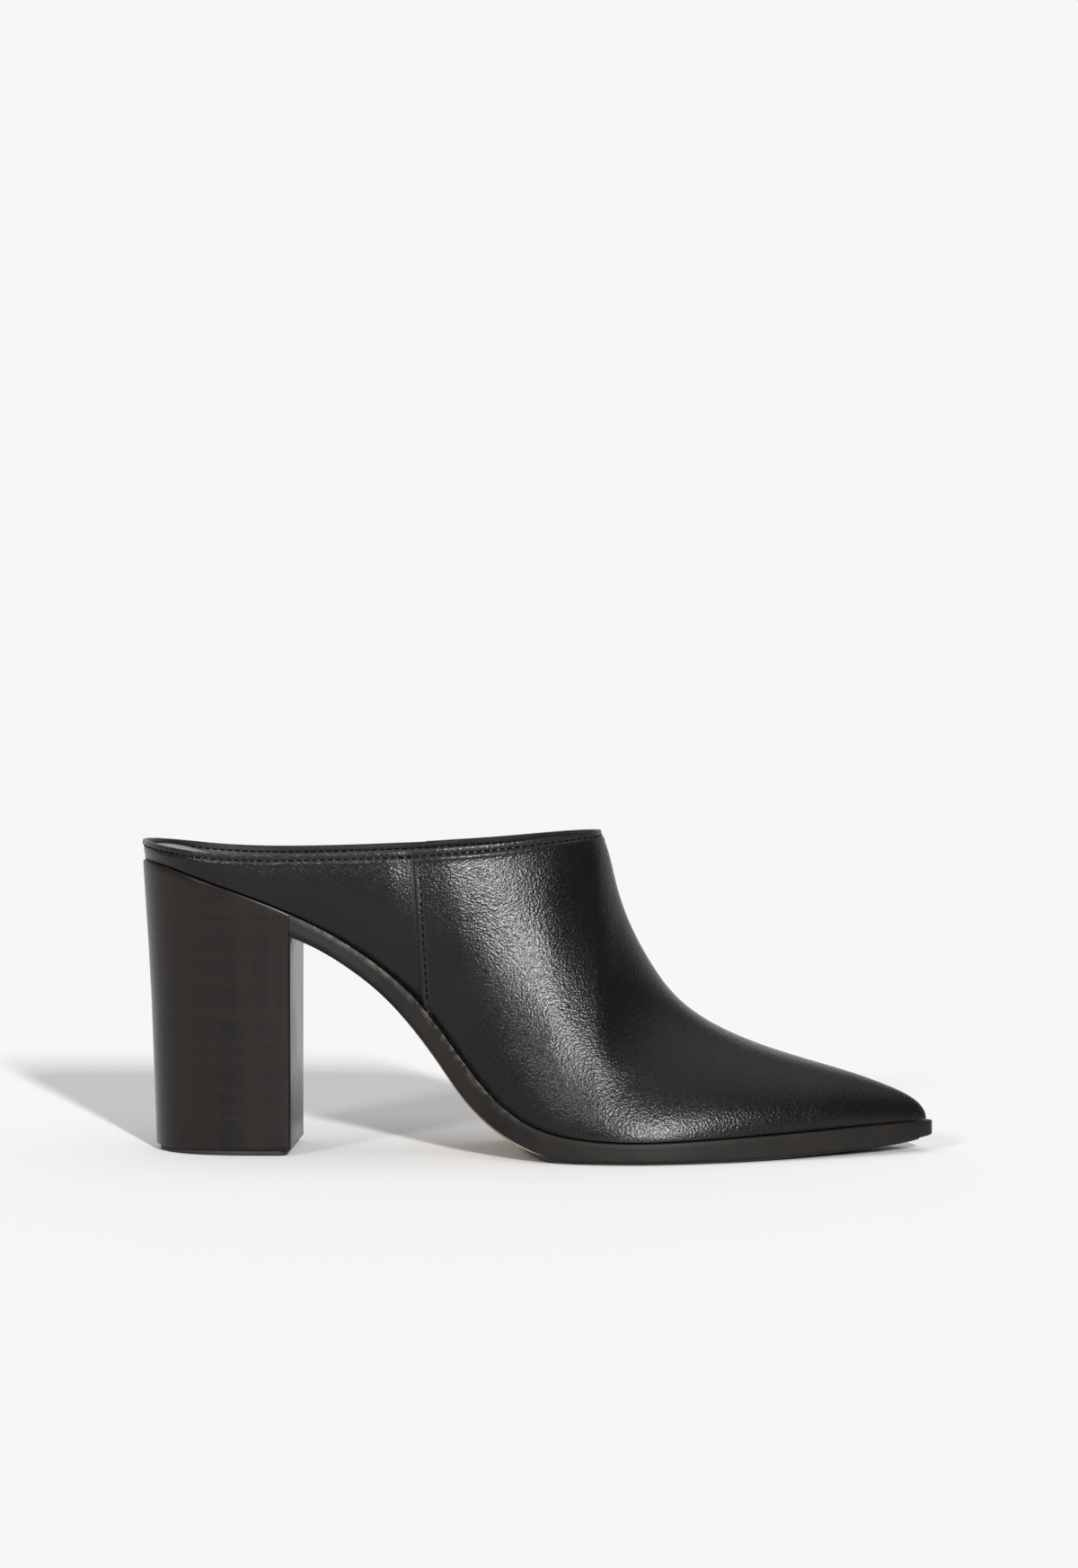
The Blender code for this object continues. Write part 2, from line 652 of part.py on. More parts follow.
def block_rows(levels, inset=0.0):
    """The heel's plan at a few shares of its height, narrowing downward."""
    back = np.stack([column(BLOCK, BLOCK_COLUMNS, c) for c in BLOCK_COLUMNS], 1)
    lateral, medial = outline.parallel(inset)
    first_top = float(lateral.x[0])
    rows = []
    for share in levels:
        def narrowed(side, share=share):
            def y(x):
                z = LIFT + LIFT_GAP + (feather_z(x) - LIFT - LIFT_GAP) * share
                start = np.interp(z, back[:, 0], back[:, 1]) + inset
                wide = np.interp(z, back[:, 0], back[:, 2])
                t = (x - start) / (BREAST_X - start)
                return side(first_top + np.clip(t, 0, 1) * (BREAST_X - first_top)) * wide
            return y
        z_back = LIFT + LIFT_GAP + (88.3 - LIFT - LIFT_GAP) * share
        start = float(np.interp(z_back, back[:, 0], back[:, 1])) + inset
        rows.append((narrowed(lateral), narrowed(medial), start, BREAST_X - inset,
                     lambda x, share=share: LIFT + LIFT_GAP + (feather_z(x) - LIFT - LIFT_GAP) * share))
    return rows


def make_heel_block(material):
    rows = block_rows((1.0, 0.975, 0.9, 0.78, 0.6, 0.4, 0.2, 0.0))
    u = np.concatenate([(1 - np.cos(np.linspace(0, math.pi / 2, 13))) * 0.55,
                        np.linspace(0.62, 1.0, 6)])
    return plate("heel_block", rows, 0, material, open_front=True, u=u)


def make_heel_lift(material):
    rows = block_rows((0.0, 0.0), inset=LIFT_INSET)
    flat = []
    for (lateral, medial, first, last, _), z in zip(rows, (LIFT, 0.0)):
        flat.append((lateral, medial, first, last, lambda x, z=z: np.full(np.shape(x), z)))
    u = np.concatenate([(1 - np.cos(np.linspace(0, math.pi / 2, 13))) * 0.55,
                        np.linspace(0.62, 1.0, 6)])
    return plate("heel_lift", flat, 0, material, open_front=True, u=u)


def main():
    global collection
    for obj in list(bpy.data.objects):
        bpy.data.objects.remove(obj, do_unlink=True)
    collection = bpy.data.collections.new("mule_pump")
    bpy.context.scene.collection.children.link(collection)
    make_upper(make_material("black_leather", (0.012, 0.011, 0.011), 0.42))
    make_insole(make_material("grey_sock_leather", (0.46, 0.45, 0.43), 0.45))
    make_outsole(make_material("dark_sole_leather", (0.045, 0.028, 0.018), 0.5))
    make_half_sole(make_material("black_rubber", (0.018, 0.018, 0.018), 0.75))
    make_heel_block(make_material("dark_heel_lacquer", (0.032, 0.02, 0.014), 0.35))
    make_heel_lift(make_material("black_lift_rubber", (0.015, 0.015, 0.015), 0.7))


main()
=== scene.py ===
import math

import bmesh
import bpy
import numpy as np
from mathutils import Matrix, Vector


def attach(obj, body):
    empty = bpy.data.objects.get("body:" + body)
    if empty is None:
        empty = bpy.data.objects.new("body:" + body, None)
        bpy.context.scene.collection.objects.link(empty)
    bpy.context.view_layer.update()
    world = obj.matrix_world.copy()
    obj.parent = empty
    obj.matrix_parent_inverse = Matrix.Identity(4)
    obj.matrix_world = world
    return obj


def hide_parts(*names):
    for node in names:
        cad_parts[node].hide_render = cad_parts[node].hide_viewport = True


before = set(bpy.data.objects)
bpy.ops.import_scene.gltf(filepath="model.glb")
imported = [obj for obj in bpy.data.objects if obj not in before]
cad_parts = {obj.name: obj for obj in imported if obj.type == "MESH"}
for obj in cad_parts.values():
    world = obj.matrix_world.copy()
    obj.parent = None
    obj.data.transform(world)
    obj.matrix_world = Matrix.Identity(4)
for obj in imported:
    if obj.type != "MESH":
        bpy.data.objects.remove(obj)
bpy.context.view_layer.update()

MM = 0.001

# ---------------------------------------------------------------- sizes (mm)
WALL = 1.8               # upper: outer leather, counter and lining together
SEAT_GAP = 0.3           # air between the insole or upper and what is below
UPPER_GAP = 0.45
TIP_LIFT = 0.4           # the tip's inner corner stays clear of the sole
PATCH = 0.8              # rubber half sole
PATCH_GAP = 0.2
LIFT = 1.5               # heel top piece
LIFT_GAP = 0.2
LIFT_INSET = 1.3
PATCH_INSET = 1.7
PATCH_REAR = -4.5        # where the half sole starts, behind the tread
PATCH_FRONT_INSET = 4.0
BREAST_X = -74.0         # front face of the heel block
BUTT_GAP = 0.3           # outsole's end to the block
INSOLE_CLEAR = 0.7       # insole's edge to the upper's inner face
THROAT_X = 18.7          # front end of the opening, on the crest
RIB_FOOT_X = -5.0        # where the throat's rib meets the feather line
INSTEP_RADIUS = 50.0     # roundness of the instep ridge
INSTEP_POWER = 1.8       # 2 is a circle, less is a firmer ridge
TUCK = 1.0               # the vamp turns in this much where it meets the sole
TUCK_HEIGHT = 4.5
TOE_SHIFT = 2.2          # the toe's tip leans to the medial side

# Plan outline of the outsole: half widths on each side of the middle line.
OUTLINE_COLUMNS = ("x", "lateral", "medial")
OUTLINE = [
    (-119.5, 8.3, 8.3),
    (-114.0, 16.9, 16.9),
    (-106.0, 22.3, 22.2),
    (-96.0, 25.0, 24.8),
    (-84.0, 25.6, 25.2),
    (-72.0, 25.0, 23.8),
    (-57.0, 23.6, 20.6),
    (-42.0, 23.8, 19.3),
    (-26.0, 27.2, 22.0),
    (-10.0, 33.6, 28.2),
    (6.0, 38.8, 34.4),
    (20.0, 41.6, 37.8),
    (33.0, 41.7, 39.0),
    (46.0, 39.0, 38.0),
    (60.0, 34.0, 34.6),
    (74.0, 27.7, 29.9),
    (87.0, 20.9, 24.5),
    (98.0, 14.6, 19.0),
    (107.0, 9.1, 13.8),
    (114.0, 4.4, 9.3),
    (118.3, 0.6, 5.4),
]
HEEL_BACK_X = -121.0
TOE_TIP_X = 120.0

# How far the upper's lower edge stands inside the outsole's outline.
WELT_COLUMNS = ("x", "inset")
WELT = [(-121.0, 0.7), (-95.0, 0.8), (-72.0, 1.1), (-45.0, 1.6), (-20.0, 1.8), (120.0, 1.8)]

# Feather line: the height at which upper and sole meet.
FEATHER_COLUMNS = ("x", "z")
FEATHER = [
    (-121.0, 88.5), (-114.0, 87.5), (-106.0, 85.2), (-95.0, 81.4),
    (-82.0, 76.8), (-69.0, 71.0), (-56.4, 64.0), (-45.0, 55.8),
    (-36.0, 47.7), (-28.0, 37.9), (-20.5, 28.1), (-14.0, 20.3),
    (-7.5, 14.8), (0.0, 10.5), (8.0, 8.1), (17.0, 6.9), (28.5, 6.4),
    (45.0, 6.7), (65.0, 7.5), (85.0, 8.3), (104.0, 9.1), (120.0, 9.4),
]

# Underside of the outsole, without the half sole.
UNDERSIDE_COLUMNS = ("x", "z")
UNDERSIDE = [
    (-74.0, 66.4), (-66.0, 62.8), (-56.5, 56.9), (-46.5, 49.0),
    (-40.0, 42.3), (-33.4, 34.2), (-28.0, 26.8), (-22.0, 18.4),
    (-16.0, 12.2), (-10.0, 7.7), (-4.0, 4.6), (2.0, 2.4), (8.0, 1.25),
    (14.0, 0.95), (36.0, 0.9), (57.0, 0.95), (71.0, 1.4), (82.0, 1.9), (93.0, 2.4),
    (104.0, 3.0), (112.0, 3.8), (120.0, 5.0),
]

# Topline: the edge of the opening, from the heel's back to the throat.
TOPLINE_COLUMNS = ("x", "z")
TOPLINE = [
    (-121.5, 94.3), (-116.0, 93.5), (-110.0, 92.7), (-104.0, 91.9),
    (-96.0, 91.2), (-84.0, 90.8), (-70.0, 90.9), (-56.0, 91.3),
    (-42.0, 91.9), (-28.0, 92.8), (-14.0, 93.9), (0.0, 95.4),
    (10.0, 96.5), (18.7, 97.3),
]

# Crest of the vamp: the ridge from the throat down to the toe's tip.
CREST_COLUMNS = ("x", "z")
CREST = [
    (18.7, 97.3), (21.0, 91.2), (23.3, 82.0), (27.2, 70.0), (33.5, 57.8),
    (40.5, 48.0), (47.1, 42.1), (57.0, 36.3), (70.1, 31.0), (83.2, 26.9),
    (96.3, 23.0), (106.0, 19.5), (112.5, 16.5), (116.0, 13.9),
    (117.7, 11.4), (118.2, 9.4),
]

# Half widths at the height of the opening, and how the wall gets there:
# bow is its outward bulge, ease is above 0 where it flares low down.
TOP_COLUMNS = ("x", "lateral", "medial", "bow", "ease")
TOP = [
    (-121.0, 24.8, 24.6, 0.5, 0.6),
    (-96.0, 24.9, 24.7, 0.6, 0.6),
    (-80.0, 25.4, 25.2, 0.8, 0.8),
    (-60.0, 25.8, 25.6, 1.0, 0.9),
    (-40.0, 26.6, 26.2, 2.6, 1.0),
    (-20.0, 27.0, 26.4, 1.8, 0.55),
    (0.0, 24.9, 24.6, 1.6, 0.15),
    (19.0, 23.6, 23.4, 0.8, -0.2),
    (40.0, 29.4, 28.8, 0.9, -0.35),
    (60.0, 30.8, 31.4, 0.4, 0.0),
    (120.0, 0.0, 0.0, 0.0, 0.0),
]

# Insole with its heel pad and sock: thickness above the feather line.
INSOLE_COLUMNS = ("x", "thick")
INSOLE = [(-121.0, 4.6), (-100.0, 4.9), (-80.0, 4.9), (-55.0, 4.0),
          (-25.0, 3.0), (20.0, 2.6), (120.0, 2.2)]

# Heel block: place of its back and width against the top, by height.
BLOCK_COLUMNS = ("z", "back", "width")
BLOCK = [
    (0.0, -117.1, 0.862), (8.0, -117.3, 0.864), (26.0, -117.9, 0.874),
    (46.0, -118.6, 0.897), (62.0, -119.4, 0.930), (75.0, -120.2, 0.967),
    (88.5, -121.0, 1.0),
]

# Ways to space stations: rear and front ends are sampled more closely.
N_REAR = 24              # ribs of the upper behind the throat
N_VAMP = 20              # ribs from the throat to the toe
N_UP = 9                 # faces up each rib


# ------------------------------------------------------------ curve helpers
def column(table, columns, name):
    """One named column of a table."""
    return np.array([row[columns.index(name)] for row in table], float)


def cubic(t, p, at, closed=False):
    """Smooth cubic spline through points p at t, read at the values at."""
    t = np.asarray(t, float)
    p = np.asarray(p, float)
    n = len(t)
    h = np.diff(t)
    a = np.zeros((n, n))
    b = np.zeros((n,) + p.shape[1:])
    for i in range(1, n - 1):
        a[i, i - 1], a[i, i], a[i, i + 1] = h[i - 1], 2 * (h[i - 1] + h[i]), h[i]
        b[i] = 6 * ((p[i + 1] - p[i]) / h[i] - (p[i] - p[i - 1]) / h[i - 1])
    if closed:
        a[0, 0], a[0, 1], a[0, n - 2] = 2 * (h[0] + h[-1]), h[0], h[-1]
        b[0] = 6 * ((p[1] - p[0]) / h[0] - (p[-1] - p[-2]) / h[-1])
        a[-1, 0], a[-1, -1] = 1, -1
    else:
        a[0, 0] = a[-1, -1] = 1
    m = np.linalg.solve(a, b)
    at = np.asarray(at, float)
    k = np.clip(np.searchsorted(t, at) - 1, 0, n - 2)
    u = (at - t[k]) / h[k]
    hk = h[k]
    if p.ndim > 1:
        u, hk = u[:, None], hk[:, None]
    return ((1 - u) * p[k] + u * p[k + 1]
            + hk ** 2 / 6 * (((1 - u) ** 3 - (1 - u)) * m[k] + (u ** 3 - u) * m[k + 1]))


def chords(points):
    """Running length along a line of points."""
    steps = np.hypot(*np.diff(points, axis=0).T)
    return np.concatenate([[0.0], np.cumsum(steps)])


def soften(values, step, width):
    """Gaussian smoothing of evenly spaced values, ends held."""
    reach = max(1, int(3 * width / step))
    kernel = np.exp(-0.5 * (np.arange(-reach, reach + 1) * step / width) ** 2)
    kernel /= kernel.sum()
    first = 2 * values[0] - values[1:reach + 1][::-1]
    last = 2 * values[-1] - values[-reach - 1:-1][::-1]
    return np.convolve(np.concatenate([first, values, last]), kernel, "valid")


class Height:
    """A height that depends on x alone, smooth through a table's rows."""

    def __init__(self, table, columns, name="z", width=2.0, step=0.25):
        x = column(table, columns, "x")
        self.x = np.arange(x[0], x[-1] + step / 2, step)
        self.v = soften(np.interp(self.x, x, column(table, columns, name)), step, width * 1.4)
        fine = cubic(x, column(table, columns, name), np.clip(self.x, x[0], x[-1]))
        self.v = soften(fine, step, width)

    def __call__(self, x):
        return np.interp(x, self.x, self.v)


class Blend:
    """A column read with straight lines between rows, then softened."""

    def __init__(self, table, columns, name, width=6.0, step=0.5):
        x = column(table, columns, "x")
        self.x = np.arange(x[0], x[-1] + step / 2, step)
        self.v = soften(np.interp(self.x, x, column(table, columns, name)), step, width)

    def __call__(self, x):
        return np.interp(x, self.x, self.v)


class Outline:
    """Closed plan outline of the sole, and its inner parallels."""

    def __init__(self):
        x = column(OUTLINE, OUTLINE_COLUMNS, "x")
        lateral = np.stack([x, -column(OUTLINE, OUTLINE_COLUMNS, "lateral")], 1)
        medial = np.stack([x, column(OUTLINE, OUTLINE_COLUMNS, "medial")], 1)
        loop = np.concatenate([[[HEEL_BACK_X, 0.0]], lateral, [[TOE_TIP_X, TOE_SHIFT]],
                               medial[::-1], [[HEEL_BACK_X, 0.0]]])
        t = chords(loop)
        self.step = t[-1] / 2400
        at = np.arange(2400) * self.step
        line = cubic(t, loop, at, closed=True)
        for axis in (0, 1):
            wide = np.concatenate([line[-60:, axis], line[:, axis], line[:60, axis]])
            line[:, axis] = soften(wide, self.step, 1.0)[60:-60]
        self.line = line
        ahead = np.roll(line, -1, 0) - np.roll(line, 1, 0)
        ahead /= np.hypot(*ahead.T)[:, None]
        self.inward = np.stack([-ahead[:, 1], ahead[:, 0]], 1)

    def parallel(self, inset):
        """Lateral and medial half widths as functions of x, at an inset."""
        d = inset(self.line[:, 0]) if callable(inset) else inset
        line = self.line + self.inward * np.reshape(d, (-1, 1) if np.ndim(d) else ())
        tip = int(np.argmax(line[:, 0]))
        back = int(np.argmin(line[:, 0]))
        lateral = np.roll(line, -back, 0)[:(tip - back) % len(line) + 1]
        medial = np.roll(line, -tip, 0)[:(back - tip) % len(line) + 1][::-1]
        return Side(lateral), Side(medial)


class Side:
    """One side of an outline: y as a function of x, and its two ends."""

    def __init__(self, line):
        keep = np.concatenate([[True], np.diff(np.maximum.accumulate(line[:, 0])) > 0])
        self.x, self.y = line[keep, 0], line[keep, 1]

    def __call__(self, x):
        return np.interp(x, self.x, self.y)


feather_z = Height(FEATHER, FEATHER_COLUMNS)
under_z = Height(UNDERSIDE, UNDERSIDE_COLUMNS)
under_z.v = np.maximum(under_z.v, PATCH + PATCH_GAP)      # the tread's flat spot
topline_z = Height(TOPLINE, TOPLINE_COLUMNS)
insole_thick = Blend(INSOLE, INSOLE_COLUMNS, "thick")
welt_inset = Blend(WELT, WELT_COLUMNS, "inset")
outline = Outline()
feather_side = dict(zip(("lateral", "medial"), outline.parallel(welt_inset)))
top_width = {side: Blend(TOP, TOP_COLUMNS, side) for side in ("lateral", "medial")}
wall_bow = Blend(TOP, TOP_COLUMNS, "bow")
wall_ease = Blend(TOP, TOP_COLUMNS, "ease")


# ------------------------------------------------------------- the last form
def crest_line():
    """Dense crest from the throat to the tip, and the same run on past both."""
    p = np.stack([column(CREST, CREST_COLUMNS, c) for c in ("x", "z")], 1)
    t = chords(p)
    at = np.linspace(0, t[-1], 700)
    line = cubic(t, p, at)
    step = at[1]
    line = np.stack([soften(line[:, 0], step, 1.2), soften(line[:, 1], step, 1.2)], 1)
    rise = line[0] - line[25]
    rise /= np.hypot(*rise)
    above = line[0] + rise * np.linspace(60, 0.3, 120)[:, None]
    below = line[-1] + np.stack([np.zeros(30), -np.linspace(0.3, 9, 30)], 1)
    return line, np.concatenate([above, line, below])


CREST_LINE, CREST_FULL = crest_line()
CREST_BY_X = np.maximum.accumulate(CREST_LINE[:, 0])


def crest_z(x):
    return np.interp(x, CREST_BY_X, CREST_LINE[:, 1])


def crest_y(x):
    """The ridge leans to the medial side as the toe does."""
    u = np.clip((np.asarray(x, float) - 35.0) / (TOE_TIP_X - 35.0), 0, 1)
    return TOE_SHIFT * u * u * (3 - 2 * u)


def crest_distance(x, z):
    """Distance in side view from each point to the crest."""
    x, z = np.broadcast_arrays(np.asarray(x, float), np.asarray(z, float))
    flat = np.stack([x.ravel(), z.ravel()], 1)
    a, b = CREST_FULL[:-1], CREST_FULL[1:]
    ab = b - a
    best = np.full(len(flat), np.inf)
    for first in range(0, len(flat), 2000):
        q = flat[first:first + 2000, None, :]
        u = np.clip(((q - a) * ab).sum(2) / (ab ** 2).sum(1), 0, 1)
        gap = a + u[..., None] * ab - q
        best[first:first + 2000] = np.sqrt((gap ** 2).sum(2).min(1))
    return best.reshape(x.shape)


def roundover(t):
    """0 on the ridge, 1 once a full radius away from it."""
    t = np.clip(t, 0, 1)
    return np.sqrt(np.maximum(0.0, 1 - (1 - t) ** 2))


def instep(t, x):
    """As roundover, with the instep's own firmer shape behind the toe."""
    t = np.clip(t, 0, 1)
    power = 2 + (INSTEP_POWER - 2) * np.clip((75.0 - x) / 40.0, 0, 1)
    return np.maximum(0.0, 1 - (1 - t) ** power) ** (1 / power)


def roof_z(x):
    return np.where(np.asarray(x) < THROAT_X, topline_z(x), crest_z(x))


def ridge_radius(x):
    """Radius of the roundover: the instep's, or less where the toe is low."""
    high = np.maximum(crest_z(np.maximum(x, THROAT_X)) - feather_z(x), 2.0)
    k = 6.0
    return (INSTEP_RADIUS ** -k + high ** -k) ** (-1 / k)


def wall_y(side, x, z):
    """Outer face of the upper: y at a point of the side view."""
    x = np.asarray(x, float)
    sign = -1.0 if side == "lateral" else 1.0
    low, roof = feather_z(x), np.maximum(roof_z(x), feather_z(x) + 0.5)
    s = np.clip((z - low) / (roof - low), 0, 1.1)
    lean = -0.7 * np.clip((z - low) / 6.0, 0, 1) * np.clip((-90.0 - x) / 20.0, 0, 1)
    middle = crest_y(x)
    foot = np.abs(feather_side[side](x - lean) - middle)
    full = np.maximum(np.abs(feather_side[side](np.clip(x, -95.0, 120.0)) - middle), 1.0)
    ratio = np.clip(top_width[side](x) / full, 0.3, 1.6)
    ratio = np.where(x > 60.0, 1.0 + (ratio - 1.0) * np.clip(1 - (x - 60.0) / 25.0, 0, 1), ratio)
    ease = wall_ease(x)
    rise = s + ease * s * (1 - s)
    grow = 1 + (ratio - 1) * rise
    near = instep(crest_distance(x, z) / ridge_radius(x), x)
    base = instep(crest_distance(x, low) / ridge_radius(x), x)
    bow = wall_bow(x) * np.sin(math.pi * np.clip(s, 0, 1)) * np.minimum(foot / 20.0, 1.0)
    ball = np.clip((x + 20.0) / 25.0, 0, 1) * np.clip((117.0 - x) / 25.0, 0, 1)
    bow = bow + TUCK * ball * (1 - np.exp(-np.maximum(z - low, 0.0) / TUCK_HEIGHT))
    return middle + sign * (foot * grow + bow) * near / np.maximum(base, 0.2)


def even(points, n):
    """n + 1 points spread evenly along a 3D line of points."""
    run = np.concatenate([[0.0], np.cumsum(np.sqrt((np.diff(points, axis=0) ** 2).sum(1)))])
    at = np.linspace(0, run[-1], n + 1)
    return np.stack([np.interp(at, run, points[:, k]) for k in range(3)], 1)


HEEL_FOOT_X = float(feather_side["lateral"].x[0])
HEEL_TOP_X = HEEL_FOOT_X - 0.7
FOOT_TIP_X = float(feather_side["lateral"].x[-1])


ORIGIN = ((HEEL_BACK_X + TOE_TIP_X) / 2,
          (outline.line[:, 1].min() + outline.line[:, 1].max()) / 2)


def stations(n, rear=True, front=True):
    """0 to 1 in n steps, closer together at the round ends."""
    u = np.linspace(0, 1, n + 1)
    if rear and front:
        return 0.5 - 0.5 * np.cos(math.pi * u)
    if front:
        return np.sin(math.pi / 2 * u) * 0.55 + u * 0.45
    if rear:
        return (1 - np.cos(math.pi / 2 * u)) * 0.55 + u * 0.45
    return u


def block_rows(levels, inset=0.0):
    """The heel's plan at a few shares of its height, narrowing downward."""
    back = np.stack([column(BLOCK, BLOCK_COLUMNS, c) for c in BLOCK_COLUMNS], 1)
    lateral, medial = outline.parallel(inset)
    first_top = float(lateral.x[0])
    rows = []
    for share in levels:
        def narrowed(side, share=share):
            def y(x):
                z = LIFT + LIFT_GAP + (feather_z(x) - LIFT - LIFT_GAP) * share
                start = np.interp(z, back[:, 0], back[:, 1]) + inset
                wide = np.interp(z, back[:, 0], back[:, 2])
                t = (x - start) / (BREAST_X - start)
                return side(first_top + np.clip(t, 0, 1) * (BREAST_X - first_top)) * wide
            return y
        z_back = LIFT + LIFT_GAP + (88.3 - LIFT - LIFT_GAP) * share
        start = float(np.interp(z_back, back[:, 0], back[:, 1])) + inset
        rows.append((narrowed(lateral), narrowed(medial), start, BREAST_X - inset,
                     lambda x, share=share: LIFT + LIFT_GAP + (feather_z(x) - LIFT - LIFT_GAP) * share))
    return rows



# ================================================================ the looks
SEAM_TOP_X, SEAM_FOOT_X = -36.2, -34.0      # rear edge of the vamp, side view
STITCH_IN = 1.7                             # stitch row below the topline
SEAM_STITCH_IN = 1.5
STITCH_PITCH = 2.35
STITCH_LONG = 1.75
SKIN = 0.95                                 # outer leather
LINING = 0.8


def place(points):
    """Millimetre tables to the row's frame, in metres."""
    return (np.asarray(points, float) - np.array([ORIGIN[0], ORIGIN[1], 0.0])) * MM


def object_from(name, points, faces, material, degrees=45.0, weld=0.00002):
    """A smooth-shaded piece of mesh that rides with the shoe."""
    bm = bmesh.new()
    verts = [bm.verts.new(p) for p in place(points)]
    for face in faces:
        try:
            bm.faces.new([verts[k] for k in face])
        except ValueError:
            pass
    if weld:
        bmesh.ops.remove_doubles(bm, verts=bm.verts, dist=weld * 0.1)
    mesh = bpy.data.meshes.new(name)
    bm.to_mesh(mesh)
    bm.free()
    mesh.materials.append(material)
    mesh.shade_smooth()
    if degrees:
        mesh.set_sharp_from_angle(angle=math.radians(degrees))
    obj = bpy.data.objects.new(name, mesh)
    bpy.context.scene.collection.objects.link(obj)
    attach(obj, "root")
    return obj


def outward(obj):
    bm = bmesh.new()
    bm.from_mesh(obj.data)
    bmesh.ops.recalc_face_normals(bm, faces=bm.faces)
    bm.to_mesh(obj.data)
    bm.free()


# ------------------------------------------------------------ node helpers
class Nodes:
    """Short calls to build one material."""

    def __init__(self, name):
        self.material = bpy.data.materials.new(name)
        self.material.use_nodes = True
        self.tree = self.material.node_tree
        self.shader = self.tree.nodes["Principled BSDF"]
        self.at = self.add("ShaderNodeTexCoord").outputs["Object"]

    def add(self, kind, **values):
        node = self.tree.nodes.new(kind)
        for key, value in values.items():
            setattr(node, key, value)
        return node

    def link(self, a, b):
        self.tree.links.new(a, b)

    def mapped(self, scale=(1, 1, 1), rotation=(0, 0, 0)):
        node = self.add("ShaderNodeMapping")
        node.inputs["Scale"].default_value = scale
        node.inputs["Rotation"].default_value = rotation
        self.link(self.at, node.inputs["Vector"])
        return node.outputs["Vector"]

    def noise(self, scale, detail=3.0, rough=0.5, vector=None, distortion=0.0):
        node = self.add("ShaderNodeTexNoise")
        node.inputs["Scale"].default_value = scale
        node.inputs["Detail"].default_value = detail
        node.inputs["Roughness"].default_value = rough
        node.inputs["Distortion"].default_value = distortion
        self.link(self.at if vector is None else vector, node.inputs["Vector"])
        return node.outputs["Fac"]

    def cells(self, scale, feature="F1", vector=None, randomness=1.0):
        node = self.add("ShaderNodeTexVoronoi", feature=feature)
        node.inputs["Scale"].default_value = scale
        node.inputs["Randomness"].default_value = randomness
        self.link(self.at if vector is None else vector, node.inputs["Vector"])
        return node.outputs["Distance"]

    def math(self, op, a, b=None, c=None):
        node = self.add("ShaderNodeMath", operation=op)
        for k, value in enumerate((a, b, c)):
            if value is None:
                continue
            if isinstance(value, (int, float)):
                node.inputs[k].default_value = value
            else:
                self.link(value, node.inputs[k])
        return node.outputs[0]

    def ramp(self, value, low, high, out_low=0.0, out_high=1.0):
        node = self.add("ShaderNodeMapRange", interpolation_type="SMOOTHSTEP")
        node.inputs["From Min"].default_value = low
        node.inputs["From Max"].default_value = high
        node.inputs["To Min"].default_value = out_low
        node.inputs["To Max"].default_value = out_high
        self.link(value, node.inputs["Value"])
        return node.outputs["Result"]

    def mix(self, fac, a, b):
        node = self.add("ShaderNodeMix", data_type="RGBA")
        for key, value in (("Factor", fac), ("A", a), ("B", b)):
            socket = [s for s in node.inputs if s.name == key and s.enabled][0]
            if isinstance(value, (int, float)):
                socket.default_value = value
            elif isinstance(value, tuple):
                socket.default_value = (*value, 1.0)
            else:
                self.link(value, socket)
        return [s for s in node.outputs if s.enabled][0]

    def bump(self, height, distance, strength=1.0, under=None):
        node = self.add("ShaderNodeBump")
        node.inputs["Strength"].default_value = strength
        node.inputs["Distance"].default_value = distance
        self.link(height, node.inputs["Height"])
        if under is not None:
            self.link(under, node.inputs["Normal"])
        return node.outputs["Normal"]

    def attribute(self, name):
        node = self.add("ShaderNodeAttribute", attribute_name=name)
        return node.outputs["Fac"]

    def axis(self, which):
        node = self.add("ShaderNodeSeparateXYZ")
        self.link(self.at, node.inputs[0])
        return node.outputs[which]

    def finish(self, colour, roughness, normal=None, **sockets):
        for key, value in (("Base Color", colour), ("Roughness", roughness), ("Normal", normal)):
            if value is None:
                continue
            socket = self.shader.inputs[key]
            if isinstance(value, tuple):
                socket.default_value = (*value, 1.0)
            elif isinstance(value, (int, float)):
                socket.default_value = value
            else:
                self.link(value, socket)
        for key, value in sockets.items():
            self.shader.inputs[key.replace("_", " ")].default_value = value
        return self.material


